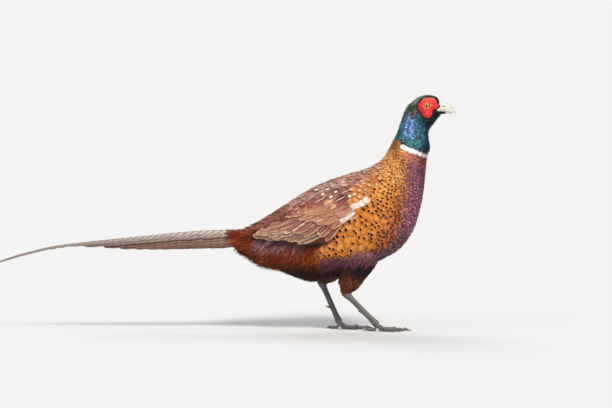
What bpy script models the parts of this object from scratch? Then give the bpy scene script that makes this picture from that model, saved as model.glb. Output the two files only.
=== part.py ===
"""A cock common pheasant, life size, standing still with its head up.

Metres, +Z up. The bill points along +X and the bird's left side is +Y. The origin is on the floor, under
the middle of the box that holds the whole bird: the bill tip and the tail tip are equally far from it.
"""

import math

import bmesh
import bpy
import numpy as np
from mathutils import Matrix, Vector
from mathutils.bvhtree import BVHTree

MM = 0.001
GAP = 0.3
CLEAR = 1.3 * GAP
SIDES = {"right": -1, "left": 1}

# Driving dimensions, in millimetres
HALF_LENGTH = 359.6
BODY_SIDES = 32
EYE_CENTRE = (313.4, 9.2, 347.5)
EYE_RADIUS = 5.6
LID_OPENING = (4.5, 3.9)
LID_THICKNESS = 0.9
WATTLE_DEPTH = 1.2
WATTLE_SIDES = 28
WATTLE_SHARES = (0.0, 0.08, 0.2, 0.38, 0.58, 0.76, 0.91, 1.0)
GAPE, GAPE_SIZE = (330.0, 9.0, 340.6), (5.0, 1.6, 0.6)
NOSTRIL = (340.5, 5.6, 346.0)
EAR_TUFT = (294.0, 11.0, 348.5)
EAR_TUFT_LENGTH = 10.0
TARSUS_LENGTH = 70.0
TARSUS_RADIUS = 3.9
TOE_RADIUS = 3.4
TOE_JOINT_HEIGHT = 9.0
CLAW_LENGTH = 12.0
SPUR_LENGTH = 11.0

# Stations of the body from the bill to the tail: name, top x and z, bottom x and z, half width, pear
# A section leans from its top point to its bottom point. Pear above 0 makes it wider at the top.
BODY = (
    ("bill_base", 334.0, 356.0, 337.0, 337.5, 6.5, 0.00),
    ("forehead", 328.0, 361.0, 336.0, 333.0, 10.0, 0.00),
    ("brow", 316.0, 363.8, 330.0, 326.0, 13.2, -0.04),
    ("crown", 302.0, 361.0, 325.0, 319.0, 15.2, -0.08),
    ("occiput", 291.0, 353.0, 321.0, 314.0, 16.5, -0.08),
    ("nape", 281.0, 341.0, 317.0, 307.0, 17.0, -0.06),
    ("throat", 274.0, 323.0, 317.0, 296.0, 18.5, 0.00),
    ("ruff", 268.0, 305.0, 319.0, 281.0, 21.0, 0.00),
    ("collar", 262.0, 293.0, 315.0, 269.0, 23.0, 0.00),
    ("neck_base", 256.0, 281.0, 312.0, 246.0, 27.5, 0.00),
    ("low_neck", 248.0, 268.0, 309.0, 216.0, 36.0, 0.00),
    ("shoulder", 236.0, 257.0, 303.0, 185.0, 46.0, 0.02),
    ("upper_breast", 217.0, 248.0, 292.0, 152.0, 54.0, 0.04),
    ("breast", 193.0, 241.0, 271.0, 124.0, 58.5, 0.05),
    ("keel", 166.0, 232.0, 242.0, 108.0, 60.0, 0.06),
    ("flank", 141.0, 222.0, 208.0, 92.0, 58.5, 0.06),
    ("belly", 118.0, 208.0, 174.0, 79.0, 54.0, 0.06),
    ("loin", 98.0, 196.0, 143.0, 75.0, 47.0, 0.06),
    ("vent", 79.0, 183.0, 115.0, 81.0, 38.5, 0.05),
    ("rump", 59.0, 171.0, 88.0, 94.0, 30.0, 0.02),
    ("tail_coverts", 40.0, 161.0, 57.0, 101.0, 23.0, 0.00),
    ("tail_root", 25.0, 155.0, 26.0, 120.0, 16.0, 0.00),
)
HEAD_END, NECK_END, TORSO_END, RUMP_END = 4.7, 8.35, 19.0, 21.0

# The folded wing under its long feathers as it is seen from the side: its upper and lower edges, x and z.
WING_TOP = ((231, 203), (206, 223), (172, 223), (133, 207), (100, 186), (74, 168))
WING_BOTTOM = ((231, 199), (212, 181), (188, 162), (166, 145), (128, 139), (74, 150))
WING_FRONT_X, WING_TIP_X = 231.0, 40.0
# How far the wing stands out from the body: at its front, in its middle besides, at its tip besides
WING_LIFT = (2.0, 5.0, 3.0)
WING_DEPTH = 8.0
WING_BED = 1.3
VANE_THICKNESS = 0.7
# Tiers of wing feathers, lowest first: how many, first and last root, first and last tip as x and z,
# half width, how far the root lies under the wing's surface, how far the tip stands over it, step of depth
WING_TIERS = {
    "primaries": (4, (122, 150), (128, 161), (62, 140), (40, 146.5), 6.5, -4.2, -3.2, 1.0),
    "secondaries": (5, (163, 160), (124, 178), (104, 136), (56, 151), 8.5, -4.2, -0.4, 0.0),
    "tertials": (4, (142, 176), (156, 207), (64, 154), (88, 176), 10.5, -4.2, 1.2, 0.0),
    "coverts": (6, (209, 178), (163, 198), (166, 138), (97, 146), 8.5, -4.2, 1.2, 0.0),
    "median_coverts": (4, (221, 197), (178, 214), (178, 160), (122, 187), 11.0, -3.4, 2.4, 0.0),
}
WING_TILT = 0.9

# The tail closed like a roof: x, top z, drop from the ridge to the eaves and half width, from root to tip.
TAIL = (
    (24.0, 152.0, 22.0, 14.0),
    (-6.0, 151.5, 22.5, 17.0),
    (-51.6, 150.0, 23.0, 17.5),
    (-123.5, 143.8, 23.0, 14.5),
    (-205.8, 135.8, 19.0, 11.0),
    (-265.1, 126.6, 10.0, 7.5),
    (-321.5, 112.8, 3.5, 4.0),
    (-HALF_LENGTH, 100.6, 1.0, 2.0),
)
TAIL_LENGTHS = (379.6, 340.0, 288.0, 236.0, 194.0, 160.0, 134.0, 112.0, 94.0)
TAIL_ROOT_X = 20.0
TAIL_HALF_WIDTHS = (11.5, 11.0, 10.0, 9.0, 8.5, 8.0, 7.5, 7.0, 6.5)
# The stub that the tail's feathers grow from: front and rear x, middle z, half width and half height
TAIL_STUB = (24.0, -26.0, 137.5, 15.5, 13.5)
EAVES_ANGLE = 68.0
EAVES_TURN = 78.0
TAIL_TILT = 13.0

# The bill in profile: x and z. The upper mandible hooks over the lower one.
CULMEN = ((332.0, 353.4), (341.0, 352.8), (347.0, 349.6), (353.0, 345.2), (357.2, 340.8), (359.5, 336.4))
TOMIUM = ((329.0, 340.6), (336.5, 340.0), (344.0, 339.0), (350.5, 337.5), (356.0, 335.3), (358.9, 333.6))
BILL_HALF_WIDTH = (6.6, 6.4, 5.4, 4.2, 2.6, 0.9)
LOWER_EDGE = ((329.5, 336.6), (336.0, 335.6), (343.0, 334.6), (348.5, 334.4), (353.5, 334.7))
LOWER_HALF_WIDTH = (6.0, 5.8, 4.8, 3.6, 1.6)

# The bare red skin: how far it reaches from the eye, from the front round over the top
WATTLE_REACH = (
    *(19.0, 16.8, 16.8, 15.6, 13.8, 12.4, 11.9, 11.8),
    *(11.5, 11.0, 11.2, 12.2, 13.5, 13.6, 13.1, 13.3),
    *(14.9, 17.4, 19.2, 18.4, 16.0, 12.8, 12.2, 17.0),
)

# Each leg: its hip inside the body, its heel, and how far out the foot stands. The right is a step ahead.
LEGS = {
    "left": ((199.0, 26.0, 142.0), (151.0, 20.0, 72.0), 8.0),
    "right": ((214.0, 26.0, 140.0), (188.0, 28.0, 58.0), 38.0),
}
THIGH_BULGE = 2.0
# Rings of a feathered thigh from inside the body to the heel: share of the way, half length, half width
THIGH_RINGS = (
    (0.0, 23.0, 11.0),
    (0.18, 30.0, 17.5),
    (0.36, 30.0, 20.0),
    (0.52, 26.0, 18.0),
    (0.68, 21.0, 15.5),
    (0.82, 17.5, 13.0),
    (0.93, 14.5, 10.5),
    (1.0, 9.0, 7.0),
)
HEEL_SHOWS = 5.0
# Toes: direction in degrees from straight ahead, outwards, and length without the claw
TOES = {"inner": (-33.0, 31.0), "middle": (2.0, 42.0), "outer": (36.0, 33.0), "hind": (174.0, 14.0)}


def spline(points, at):
    """Points on the Catmull-Rom curve through the rows of points. Its parameter counts rows from 0."""
    rows = np.asarray(points, float).reshape(len(points), -1)
    rows = np.vstack([2 * rows[0] - rows[1], rows, 2 * rows[-1] - rows[-2]])
    at = np.clip(np.atleast_1d(np.asarray(at, float)), 0, len(rows) - 3)
    i = np.minimum(at.astype(int), len(rows) - 4)
    t = (at - i)[:, None]
    a, b, c, d = (rows[i + k] for k in range(4))
    return 0.5 * (2 * b + (c - a) * t + (2 * a - 5 * b + 4 * c - d) * t**2 + (3 * b - a - 3 * c + d) * t**3)


def smoothly(points, share):
    """Points at shares of the way, from 0 to 1, along the curve through points."""
    return spline(points, np.asarray(share) * (len(points) - 1))


def material(name, colour, roughness=0.7, metallic=0.0):
    """A Principled material of one colour, roughness and metallic value."""
    made = bpy.data.materials.new(name)
    made.use_nodes = True
    shader = made.node_tree.nodes["Principled BSDF"]
    shader.inputs["Base Color"].default_value = (*colour, 1)
    shader.inputs["Roughness"].default_value = roughness
    shader.inputs["Metallic"].default_value = metallic
    return made


def new_object(name, points, faces, finish, folder):
    """A mesh object from points in millimetres, with its faces turned outwards."""
    mesh = bpy.data.meshes.new(name)
    mesh.from_pydata((np.asarray(points) * MM).tolist(), [], faces)
    work = bmesh.new()
    work.from_mesh(mesh)
    bmesh.ops.recalc_face_normals(work, faces=work.faces)
    work.to_mesh(mesh)
    work.free()
    mesh.shade_smooth()
    mesh.set_sharp_from_angle(angle=math.radians(40))
    mesh.materials.append(finish)
    made = bpy.data.objects.new(name, mesh)
    folder.objects.link(made)
    return made


def loft(name, rings, finish, folder):
    """A closed body through rings of equally many points, capped flat with a fan at each end."""
    rings = [np.asarray(ring, float) for ring in rings]
    count = len(rings[0])
    points = np.vstack([*rings, rings[0].mean(0), rings[-1].mean(0)])
    faces = []
    for i in range(len(rings) - 1):
        for j in range(count):
            k = (j + 1) % count
            faces.append((i * count + j, i * count + k, (i + 1) * count + k, (i + 1) * count + j))
    first, last = len(points) - 2, len(points) - 1
    end = (len(rings) - 1) * count
    for j in range(count):
        k = (j + 1) % count
        faces.append((first, k, j))
        faces.append((last, end + j, end + k))
    return new_object(name, points, faces, finish, folder)


def slab(name, outer, inner, finish, folder):
    """A closed plate between two grids of points of one shape, with the same diagonals on both faces."""
    rows, columns = outer.shape[:2]
    points = np.vstack([outer.reshape(-1, 3), inner.reshape(-1, 3)])
    under = rows * columns
    faces = []
    for i in range(rows - 1):
        for j in range(columns - 1):
            a, b = i * columns + j, (i + 1) * columns + j
            for c, d, e in ((a, a + 1, b + 1), (a, b + 1, b)):
                faces.append((c, d, e))
                faces.append((under + c, under + e, under + d))
    rim = list(range(columns))
    rim += [i * columns + columns - 1 for i in range(1, rows)]
    rim += [(rows - 1) * columns + j for j in range(columns - 2, -1, -1)]
    rim += [i * columns for i in range(rows - 2, 0, -1)]
    for a, b in zip(rim, rim[1:] + rim[:1]):
        faces.append((a, b, under + b, under + a))
    return new_object(name, points, faces, finish, folder)


def set_mesh(target, mesh):
    """Puts mesh in place of target's own."""
    old = target.data
    target.modifiers.clear()
    target.data = mesh
    mesh.name = target.name
    bpy.data.meshes.remove(old)


def evaluated_mesh(target):
    """A new mesh with target's modifiers applied."""
    graph = bpy.context.evaluated_depsgraph_get()
    graph.update()
    return bpy.data.meshes.new_from_object(target.evaluated_get(graph))


def boolean(target, others, operation):
    """Joins others to target, or cuts them from it, and removes them."""
    tools = bpy.data.collections.new("tools")
    bpy.context.scene.collection.children.link(tools)
    for other in others:
        for folder in list(other.users_collection):
            folder.objects.unlink(other)
        tools.objects.link(other)
    modifier = target.modifiers.new("join", "BOOLEAN")
    modifier.operation = operation
    modifier.operand_type = "COLLECTION"
    modifier.collection = tools
    modifier.solver = "EXACT"
    set_mesh(target, evaluated_mesh(target))
    for other in list(tools.objects):
        bpy.data.objects.remove(other)
    bpy.data.collections.remove(tools)
    keep_largest(target)
    return target


def keep_largest(target):
    """Drops every closed surface of the mesh but the one of greatest volume."""
    work = bmesh.new()
    work.from_mesh(target.data)
    bmesh.ops.triangulate(work, faces=work.faces)
    unseen, islands = set(work.verts), []
    while unseen:
        island, edge = set(), [unseen.pop()]
        while edge:
            vertex = edge.pop()
            island.add(vertex)
            near = {e.other_vert(vertex) for e in vertex.link_edges} & unseen
            unseen -= near
            edge.extend(near)
        faces = {f for v in island for f in v.link_faces}
        corners = ([v.co for v in f.verts] for f in faces)
        islands.append((abs(sum(a.dot(b.cross(c)) for a, b, c in corners)), island))
    islands.sort(key=lambda pair: pair[0])
    loose = [v for _, island in islands[:-1] for v in island]
    bmesh.ops.delete(work, geom=loose, context="VERTS")
    work.to_mesh(target.data)
    work.free()


def inflated(source):
    """A copy of source that stands out from it on every side, for cutting its neighbours clear."""
    copy = source.copy()
    copy.data = source.data.copy()
    copy.name = source.name + "_cutter"
    source.users_collection[0].objects.link(copy)
    normals = [v.vector.copy() for v in source.data.vertex_normals]
    for vertex, normal in zip(copy.data.vertices, normals):
        vertex.co += normal * CLEAR * MM
    return copy


def cut_clear(target, *neighbours):
    """Cuts target back from its neighbours, so that they meet face to face."""
    return boolean(target, [inflated(n) for n in neighbours], "DIFFERENCE")


def body_ring(u, sides=BODY_SIDES):
    """The body's section at station u: a squarish ellipse from its top point to its bottom point."""
    x0, z0, x1, z1, half_width, pear = spline([row[1:] for row in BODY], u)[0]
    centre = np.array([(x0 + x1) / 2, 0, (z0 + z1) / 2])
    up = np.array([(x0 - x1) / 2, 0, (z0 - z1) / 2])
    turn = np.linspace(0, 2 * math.pi, sides, endpoint=False)
    high, wide = np.cos(turn), np.sin(turn)
    high = np.sign(high) * np.abs(high) ** 0.95
    wide = np.sign(wide) * np.abs(wide) ** 0.95 * half_width * (1 + pear * np.cos(turn))
    return centre + high[:, None] * up + wide[:, None] * np.array([0, 1, 0])


def body_length(name, start, end, step, finish, folder):
    """The stretch of the body between two stations, one gap past the flat end of the one before."""
    rings = [body_ring(u) for u in np.linspace(start, end, max(2, round((end - start) / step) + 1))]
    if start > 0:
        x0, z0, x1, z1 = spline([row[1:5] for row in BODY], start)[0]
        backwards = np.array([z1 - z0, 0, x0 - x1]) / math.hypot(z1 - z0, x0 - x1)
        rings[0] = rings[0] + backwards * GAP
    return loft(name, rings, finish, folder)


def finer_body():
    """The whole body's surface for finding places on it, in millimetres."""
    rings = np.array([body_ring(u, 120) for u in np.linspace(0, RUMP_END, 240)])
    faces = []
    for i in range(rings.shape[0] - 1):
        for j in range(120):
            k = (j + 1) % 120
            faces.append((i * 120 + j, i * 120 + k, (i + 1) * 120 + k, (i + 1) * 120 + j))
    return BVHTree.FromPolygons(rings.reshape(-1, 3).tolist(), faces)


def side_of_body(surface, x, z):
    """How far out the body's side is at x and z. Above and below its outline that is 0."""
    hit = surface.ray_cast(Vector((x, 400, z)), Vector((0, -1, 0)))[0]
    return hit.y if hit else 0.0


def ellipsoid(name, centre, radii, finish, folder, sides=16):
    """A sphere drawn out to the three radii, with its poles on Y."""
    mesh = bpy.data.meshes.new(name)
    work = bmesh.new()
    bmesh.ops.create_uvsphere(work, u_segments=sides, v_segments=sides // 2, radius=MM)
    turned = Matrix.Rotation(math.pi / 2, 4, "X")
    place = Matrix.Translation(Vector(centre) * MM) @ Matrix.Diagonal((*radii, 1)) @ turned
    bmesh.ops.transform(work, matrix=place, verts=work.verts)
    work.to_mesh(mesh)
    work.free()
    mesh.shade_smooth()
    mesh.materials.append(finish)
    made = bpy.data.objects.new(name, mesh)
    folder.objects.link(made)
    return made


def mirrored(point, sign):
    """The point on the bird's right for sign -1, as given for 1."""
    return np.array(point) * [1, sign, 1]


def make_head(surface, folder, finishes):
    """The feathered head, cut out for the eyes, the wattles and the corners of the mouth."""
    head = body_length("head", 0, HEAD_END, 0.3, finishes["head"], folder)
    cuts, tufts = [], []
    socket = [EYE_RADIUS + CLEAR] * 3
    for sign in SIDES.values():
        cuts.append(ellipsoid("socket", mirrored(EYE_CENTRE, sign), socket, finishes["head"], folder))
        cuts.append(wattle_recess(sign, surface, folder, finishes))
        cuts.append(ellipsoid("gape", mirrored(GAPE, sign), GAPE_SIZE, finishes["head"], folder, 10))
        tufts.append(ear_tuft(sign, folder, finishes))
    boolean(head, tufts, "UNION")
    return boolean(head, cuts, "DIFFERENCE")


def ear_tuft(sign, folder, finishes):
    """The small horn of feathers behind the ear."""
    start, way = mirrored(EAR_TUFT, sign), mirrored((-0.93, 0.33, 0.12), sign)
    way /= np.linalg.norm(way)
    rings = []
    for s in np.linspace(0, 1, 6):
        size = 1.15 - s**1.5
        rings.append(ring_about(start + way * EAR_TUFT_LENGTH * s, way, 2.4 * size, 1.8 * size, 8))
    return loft("ear_tuft", rings, finishes["head"], folder)


def on_side(surface, x, z, sign):
    """The point of the body's side at x and z, and the way out of it."""
    hit, normal = surface.ray_cast(Vector((x, 400, z)), Vector((0, -1, 0)))[:2]
    if normal.y < 0:
        normal = -normal
    return np.array(hit) * [1, sign, 1], np.array(normal) * [1, sign, 1]


def wattle_reach(turn):
    """How far the bare skin reaches from the eye in the direction turn, from the front over the top."""
    share = (turn % (2 * math.pi)) / (2 * math.pi)
    return spline(WATTLE_REACH * 3, (1 + share) * len(WATTLE_REACH))[:, 0]


def wattle_recess(sign, surface, folder, finishes):
    """The hollow in the head that takes the bare skin: a plate from under the skin to well outside it."""
    margin = CLEAR
    turns = np.linspace(0, 2 * math.pi, WATTLE_SIDES, endpoint=False)
    inside, outside = [], []
    for share in (-0.98, -0.5, *WATTLE_SHARES):
        floor, cover = [], []
        for turn, far in zip(turns, wattle_reach(turns)):
            x, z = wattle_spot(turn, far + margin, share)
            spot, out = on_side(surface, x, z, sign)
            floor.append(spot - out * (WATTLE_DEPTH + margin))
            cover.append(spot + out * 7)
        inside.append(floor)
        outside.append(cover)
    return loft("recess", inside + outside[::-1], finishes["head"], folder)


def wattle_spot(turn, far, share):
    """The x and z of a place on the bare skin: share 0 is the lids' rim, 1 the outer rim, -1 the eye."""
    near = 1 / math.hypot(math.cos(turn) / LID_OPENING[0], math.sin(turn) / LID_OPENING[1])
    r = near + (far - near) * share if share >= 0 else near * (1 + share)
    return EYE_CENTRE[0] + math.cos(turn) * r, EYE_CENTRE[2] + math.sin(turn) * r


def make_eye(side, folder, finishes):
    """An eyeball, which shows through the opening of the lids."""
    name, sign = side
    size = [EYE_RADIUS] * 3
    return ellipsoid("eye_" + name, mirrored(EYE_CENTRE, sign), size, finishes["eye"], folder, 16)


def wattle_height(turn, share):
    """How high the bare skin stands over the cheek: lids, a furrow round them, folds, and the lobe below."""
    lid = 1.5 * math.exp(-((share / 0.12) ** 2))
    swell = 2.1 * math.sin(math.pi * share) ** 0.7
    below = math.exp(-(((turn - 4.45) / 0.7) ** 2))
    lobe = 2.0 * below * math.exp(-(((share - 0.7) / 0.25) ** 2))
    fold = 0.55 * math.cos(7 * turn + 4 * share) * math.sin(math.pi * share) ** 2
    return 0.35 + lid + swell + lobe + fold


def make_wattle(side, surface, folder, finishes):
    """The bare red skin: a sheet let into the cheek, with a lobe below the eye and the lids as its rim."""
    name, sign = side
    turns = np.linspace(0, 2 * math.pi, WATTLE_SIDES, endpoint=False)
    grid = []
    for turn, far in zip(turns, wattle_reach(turns)):
        outer, inner = [], []
        for share in WATTLE_SHARES:
            x, z = wattle_spot(turn, far, share)
            r = math.hypot(x - EYE_CENTRE[0], z - EYE_CENTRE[2])
            spot, out = on_side(surface, x, z, sign)
            ball = EYE_CENTRE[1] + math.sqrt(max(0, (EYE_RADIUS + CLEAR) ** 2 - r * r))
            deep = spot - out * WATTLE_DEPTH
            if r < EYE_RADIUS + 0.6 and abs(deep[1]) < ball:
                deep = np.array([x, sign * ball, z])
            high = spot + out * wattle_height(turn, share)
            high[1] = sign * max(abs(high[1]), abs(deep[1]) + LID_THICKNESS)
            outer.append(high)
            inner.append(deep)
        grid.append(outer + inner[::-1])
    return ring_body("wattle_" + name, np.array(grid), finishes["wattle"], folder)


def ring_body(name, grid, finish, folder):
    """A closed body like a tyre from a grid of points that wraps both ways."""
    rows, columns = grid.shape[:2]
    faces = []
    for i in range(rows):
        for j in range(columns):
            k, n = (i + 1) % rows, (j + 1) % columns
            faces.append((i * columns + j, k * columns + j, k * columns + n, i * columns + n))
    return new_object(name, grid.reshape(-1, 3), faces, finish, folder)


def make_bill(head, folder, finishes):
    """The horn of the bill in two pieces, whose gap is the line of the mouth."""
    shares = np.linspace(0, 1, 9)
    top, edge = smoothly(CULMEN, shares), smoothly(TOMIUM, shares)
    width = smoothly(BILL_HALF_WIDTH, shares)[:, 0]
    upper = [mandible_ring(t, e, w, 1) for t, e, w in zip(top, edge, width)]
    upper = loft("bill_upper", upper, finishes["bill"], folder)
    nostrils = []
    for sign in SIDES.values():
        spot = mirrored(NOSTRIL, sign)
        nostrils.append(ellipsoid("nostril", spot, (2.4, 1.3, 0.9), finishes["bill"], folder, 10))
    boolean(upper, nostrils, "DIFFERENCE")
    shares = np.linspace(0, 1, 7)
    low = smoothly(LOWER_EDGE, shares)
    width = smoothly(LOWER_HALF_WIDTH, shares)[:, 0]
    seam = np.array([np.interp(low[:, 0], edge[:, 0], edge[:, 1])]).T
    seam = np.hstack([low[:, :1], seam - CLEAR])
    lower = [mandible_ring(l, s, w, -1) for l, s, w in zip(low, seam, width)]
    lower = loft("bill_lower", lower, finishes["bill"], folder)
    cut_clear(upper, head)
    cut_clear(lower, head)


def mandible_ring(ridge, edge, half_width, up):
    """Half an ellipse from one cutting edge over the ridge to the other."""
    turn = np.linspace(0, math.pi, 9)
    out = np.cos(turn) * half_width
    rise = np.sin(turn) ** 0.8
    x = edge[0] + (ridge[0] - edge[0]) * rise
    z = edge[1] + (ridge[1] - edge[1]) * rise
    return np.stack([x, out * up, z], 1)


def wing_point(surface, x, z, rise, sign):
    """The point at x and z that stands the wing's lift and its own rise out from the body's side."""
    behind = min(1, max(0, (WING_FRONT_X - x) / (WING_FRONT_X - WING_TIP_X)))
    front, middle, tip = WING_LIFT
    lift = front + middle * min(1, behind * 5) ** 0.5 + tip * behind**2
    return x, (side_of_body(surface, x, z) + lift + rise) * sign, z


def make_wing(side, surface, folder, finishes):
    """The folded wing: a smooth shell and the tiers of long feathers that grow out of it."""
    name, sign = side
    along, across = np.linspace(0, 1, 14), np.linspace(0, 1, 7)
    top, bottom = smoothly(WING_TOP, along), smoothly(WING_BOTTOM, along)
    outer, inner = np.zeros((2, len(along), len(across), 3))
    for i in range(len(along)):
        for j, t in enumerate(across):
            x, z = top[i] + (bottom[i] - top[i]) * t
            round_off = 2.5 * (1 - math.sin(math.pi * (0.06 + 0.88 * t)) ** 0.6)
            under_vanes = WING_BED * min(1, max(0, along[i] - 0.1) * 4)
            outer[i, j] = wing_point(surface, x, z, -round_off - under_vanes, sign)
            inner[i, j] = wing_point(surface, x, z, -WING_DEPTH, sign)
    wing = slab("wing_" + name, outer, inner, finishes["wing"], folder)
    chance = np.random.default_rng(7)
    vanes = []
    for tier in WING_TIERS.values():
        count, first_root, last_root, first_tip, last_tip, half_width, sunk, raised, step = tier
        for k, share in enumerate(np.linspace(0, 1, count)):
            root = np.array(first_root) * (1 - share) + np.array(last_root) * share
            tip = np.array(first_tip) * (1 - share) + np.array(last_tip) * share
            tip = tip + chance.uniform(-1.2, 1.2, 2)
            depth = (sunk + step * (k - count + 1), raised + step * (k - count + 1))
            vanes.append(wing_vane(surface, root, tip, half_width, depth, sign, folder, finishes))
    return boolean(wing, vanes, "UNION")


def wing_vane(surface, root, tip, half_width, depth, sign, folder, finishes):
    """One long feather of the wing, whose lower edge and tip stand free of the feathers under it."""
    way = (tip - root) / np.linalg.norm(tip - root)
    down = np.array([way[1], -way[0]])
    if down[1] > 0:
        down = -down
    outer, inner = [], []
    for u in (0, 0.34, 0.76, 1):
        centre = root + (tip - root) * u
        swell = 0.55 + 0.45 * min(1, u * 3)
        half = half_width * swell * (1 - max(0, (u - 0.72) / 0.28) ** 2 * 0.88)
        rise = depth[0] + (depth[1] - depth[0]) * u**0.7
        row, back = [], []
        for v in (-1, 1):
            x, z = centre + down * half * v
            over = rise + WING_TILT * v
            row.append(wing_point(surface, x, z, over, sign))
            back.append(wing_point(surface, x, z, over - VANE_THICKNESS, sign))
        outer.append(row)
        inner.append(back)
    return slab("vane", np.array(outer), np.array(inner), finishes["wing"], folder)


def tail_frame(x, place):
    """The centre, way across and way out of a tail feather at x, for a place from ridge (0) to eaves (1)."""
    keys = np.array(TAIL)
    at = np.interp(-x, -keys[:, 0], np.arange(len(keys)))
    _, ridge, drop, half_width = spline(TAIL, at)[0]
    angle = math.radians(EAVES_ANGLE) * place
    out = np.array([0, math.sin(angle), math.cos(angle)])
    across = np.array([0, math.cos(angle), -math.sin(angle)])
    aside = half_width * math.sin(math.radians(EAVES_TURN) * place)
    return np.array([x, aside, ridge - drop * place**1.4]), across, out


def make_tail(folder, finishes):
    """The closed tail: a stub and nine pairs of feathers, the middle pair longest and uppermost."""
    front, rear, middle, half_width, half_height = TAIL_STUB
    rings = []
    for share in np.linspace(0, 1, 5):
        turn = np.linspace(0, 2 * math.pi, 16, endpoint=False)
        taper = 1 - 0.35 * share
        x = np.full(16, front + (rear - front) * share)
        y = np.sin(turn) * half_width * taper
        rings.append(np.stack([x, y, middle + np.cos(turn) * half_height * taper], 1))
    tail = loft("tail", rings, finishes["tail"], folder)
    vanes = []
    for pair in range(len(TAIL_LENGTHS)):
        for sign in SIDES.values():
            vanes.append(tail_vane(pair, sign, folder, finishes))
    return boolean(tail, vanes, "UNION")


def tail_vane(pair, sign, folder, finishes):
    """One tail feather, tilted so that its inner edge lies under the feather above it."""
    length, middle = TAIL_LENGTHS[pair], pair == 0
    place = 0.1 if middle else 0.06 + 0.94 * pair / (len(TAIL_LENGTHS) - 1)
    tilt = 0.0 if middle else math.radians(TAIL_TILT)
    level = 0.9 if middle and sign > 0 else 0.0
    outer, inner = [], []
    for u in np.linspace(0, 1, max(4, round(length / 55))):
        centre, across, out = tail_frame(TAIL_ROOT_X - length * u, place)
        swell = (0.5 + 0.5 * min(1, u * 6)) * (1 - 0.62 * u)
        half = TAIL_HALF_WIDTHS[pair] * swell * (1 - max(0, (u - 0.86) / 0.14) * 0.8)
        sink = 4.0 * max(0, 1 - u * 9)
        if not middle:
            sink += 1.8 * (1 - 0.7 * u)
        lean = across * math.cos(tilt) + out * math.sin(tilt)
        centre = centre + out * (level - sink)
        row = [centre + lean * half * v for v in (-1, 1)]
        outer.append([p * [1, sign, 1] for p in row])
        inner.append([(p - out * VANE_THICKNESS) * [1, sign, 1] for p in row])
    return slab("vane", np.array(outer), np.array(inner), finishes["tail"], folder)


def ring_about(centre, direction, radius_a, radius_b, sides, side_way=(0, 1, 0), start=0.0):
    """An ellipse round centre, square to direction: radius_b along side_way, radius_a along the third."""
    ahead = Vector(direction).normalized()
    b = (Vector(side_way) - ahead * Vector(side_way).dot(ahead)).normalized()
    a = ahead.cross(b)
    turn = start + np.linspace(0, 2 * math.pi, sides, endpoint=False)[:, None]
    return np.array(centre) + np.cos(turn) * np.array(a) * radius_a + np.sin(turn) * np.array(b) * radius_b


def make_leg(side, torso, folder, finishes):
    """A feathered thigh, the scaly shank with its four toes, a spur, and a claw on each toe."""
    name, sign = side
    hip, heel, out = LEGS[name]
    hip, heel = mirrored(hip, sign), mirrored(heel, sign)
    drop = heel[2] - TOE_JOINT_HEIGHT
    stride = math.sqrt(TARSUS_LENGTH**2 - drop**2 - (out - abs(heel[1])) ** 2)
    ankle = np.array([heel[0] + stride, out * sign, TOE_JOINT_HEIGHT])
    thigh = make_thigh(name, hip, heel, folder, finishes)
    rings = []
    for s in np.linspace(0, 1, 9):
        swell = 1 + 0.55 * math.exp(-(((s - 0.03) * 9) ** 2)) + 0.3 * math.exp(-(((s - 1) * 9) ** 2))
        radius = TARSUS_RADIUS * swell
        rings.append(ring_about(heel + (ankle - heel) * s, ankle - heel, radius * 1.15, radius * 0.85, 10))
    shank = loft("shank_" + name, rings, finishes["leg"], folder)
    toes = []
    for toe, (turn, length) in TOES.items():
        way = math.radians(turn * sign)
        ahead = np.array([math.cos(way), math.sin(way), 0])
        toes.append(make_toe(toe, ankle * [1, 1, 0], ahead, length, folder, finishes))
        end = ankle * [1, 1, 0] + ahead * (length + CLEAR)
        claw_length = CLAW_LENGTH * (0.65 if toe == "hind" else 1)
        make_claw(f"claw_{toe}_{name}", end, ahead, claw_length, folder, finishes)
    boolean(shank, toes, "UNION")
    make_spur(name, sign, heel, ankle, shank, folder, finishes)
    cut_clear(thigh, torso)
    cut_clear(shank, thigh)


def make_thigh(name, hip, heel, folder, finishes):
    """The feathered leg from the hip to just above the heel, with its bulge ahead."""
    end = heel + (hip - heel) / np.linalg.norm(hip - heel) * HEEL_SHOWS
    rings = []
    for s, half_length, half_width in THIGH_RINGS:
        centre = hip + (end - hip) * s + [THIGH_BULGE * math.sin(math.pi * s), 0, 0]
        rings.append(ring_about(centre, end - hip, half_length, half_width, 20))
    return loft("thigh_" + name, rings, finishes["thigh"], folder)


def make_toe(toe, joint, ahead, length, folder, finishes):
    """One toe, flat underneath where it rests on the floor."""
    rings = []
    for s in np.linspace(0, 1, 6):
        radius = TOE_RADIUS * (1.15 - 0.4 * s) * (0.85 if toe == "hind" else 1)
        height = radius * 0.8 + (TOE_JOINT_HEIGHT - radius * 0.8) * max(0, 1 - s * 3.2) ** 1.5
        middle = joint + ahead * length * s + [0, 0, height]
        ring = ring_about(middle, ahead, radius, radius, 8, (0, 0, 1), math.pi / 8)
        rings.append(np.maximum(ring, [-1e3, -1e3, 0]))
    return loft("toe", rings, finishes["leg"], folder)


def make_claw(name, start, ahead, length, folder, finishes):
    """A horn claw that curves down to the floor from the toe's end."""
    rings = []
    for s in np.linspace(0, 1, 6):
        radius = TOE_RADIUS * 0.72 * (1 - 0.9 * s)
        height = TOE_RADIUS * 0.6 * (1 - s) ** 0.6 + radius * 0.6
        middle = start + ahead * length * s + [0, 0, height]
        ring = ring_about(middle, ahead, radius, radius * 0.75, 6, (0, 0, 1))
        rings.append(np.maximum(ring, [-1e3, -1e3, 0]))
    return loft(name, rings, finishes["claw"], folder)


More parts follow.
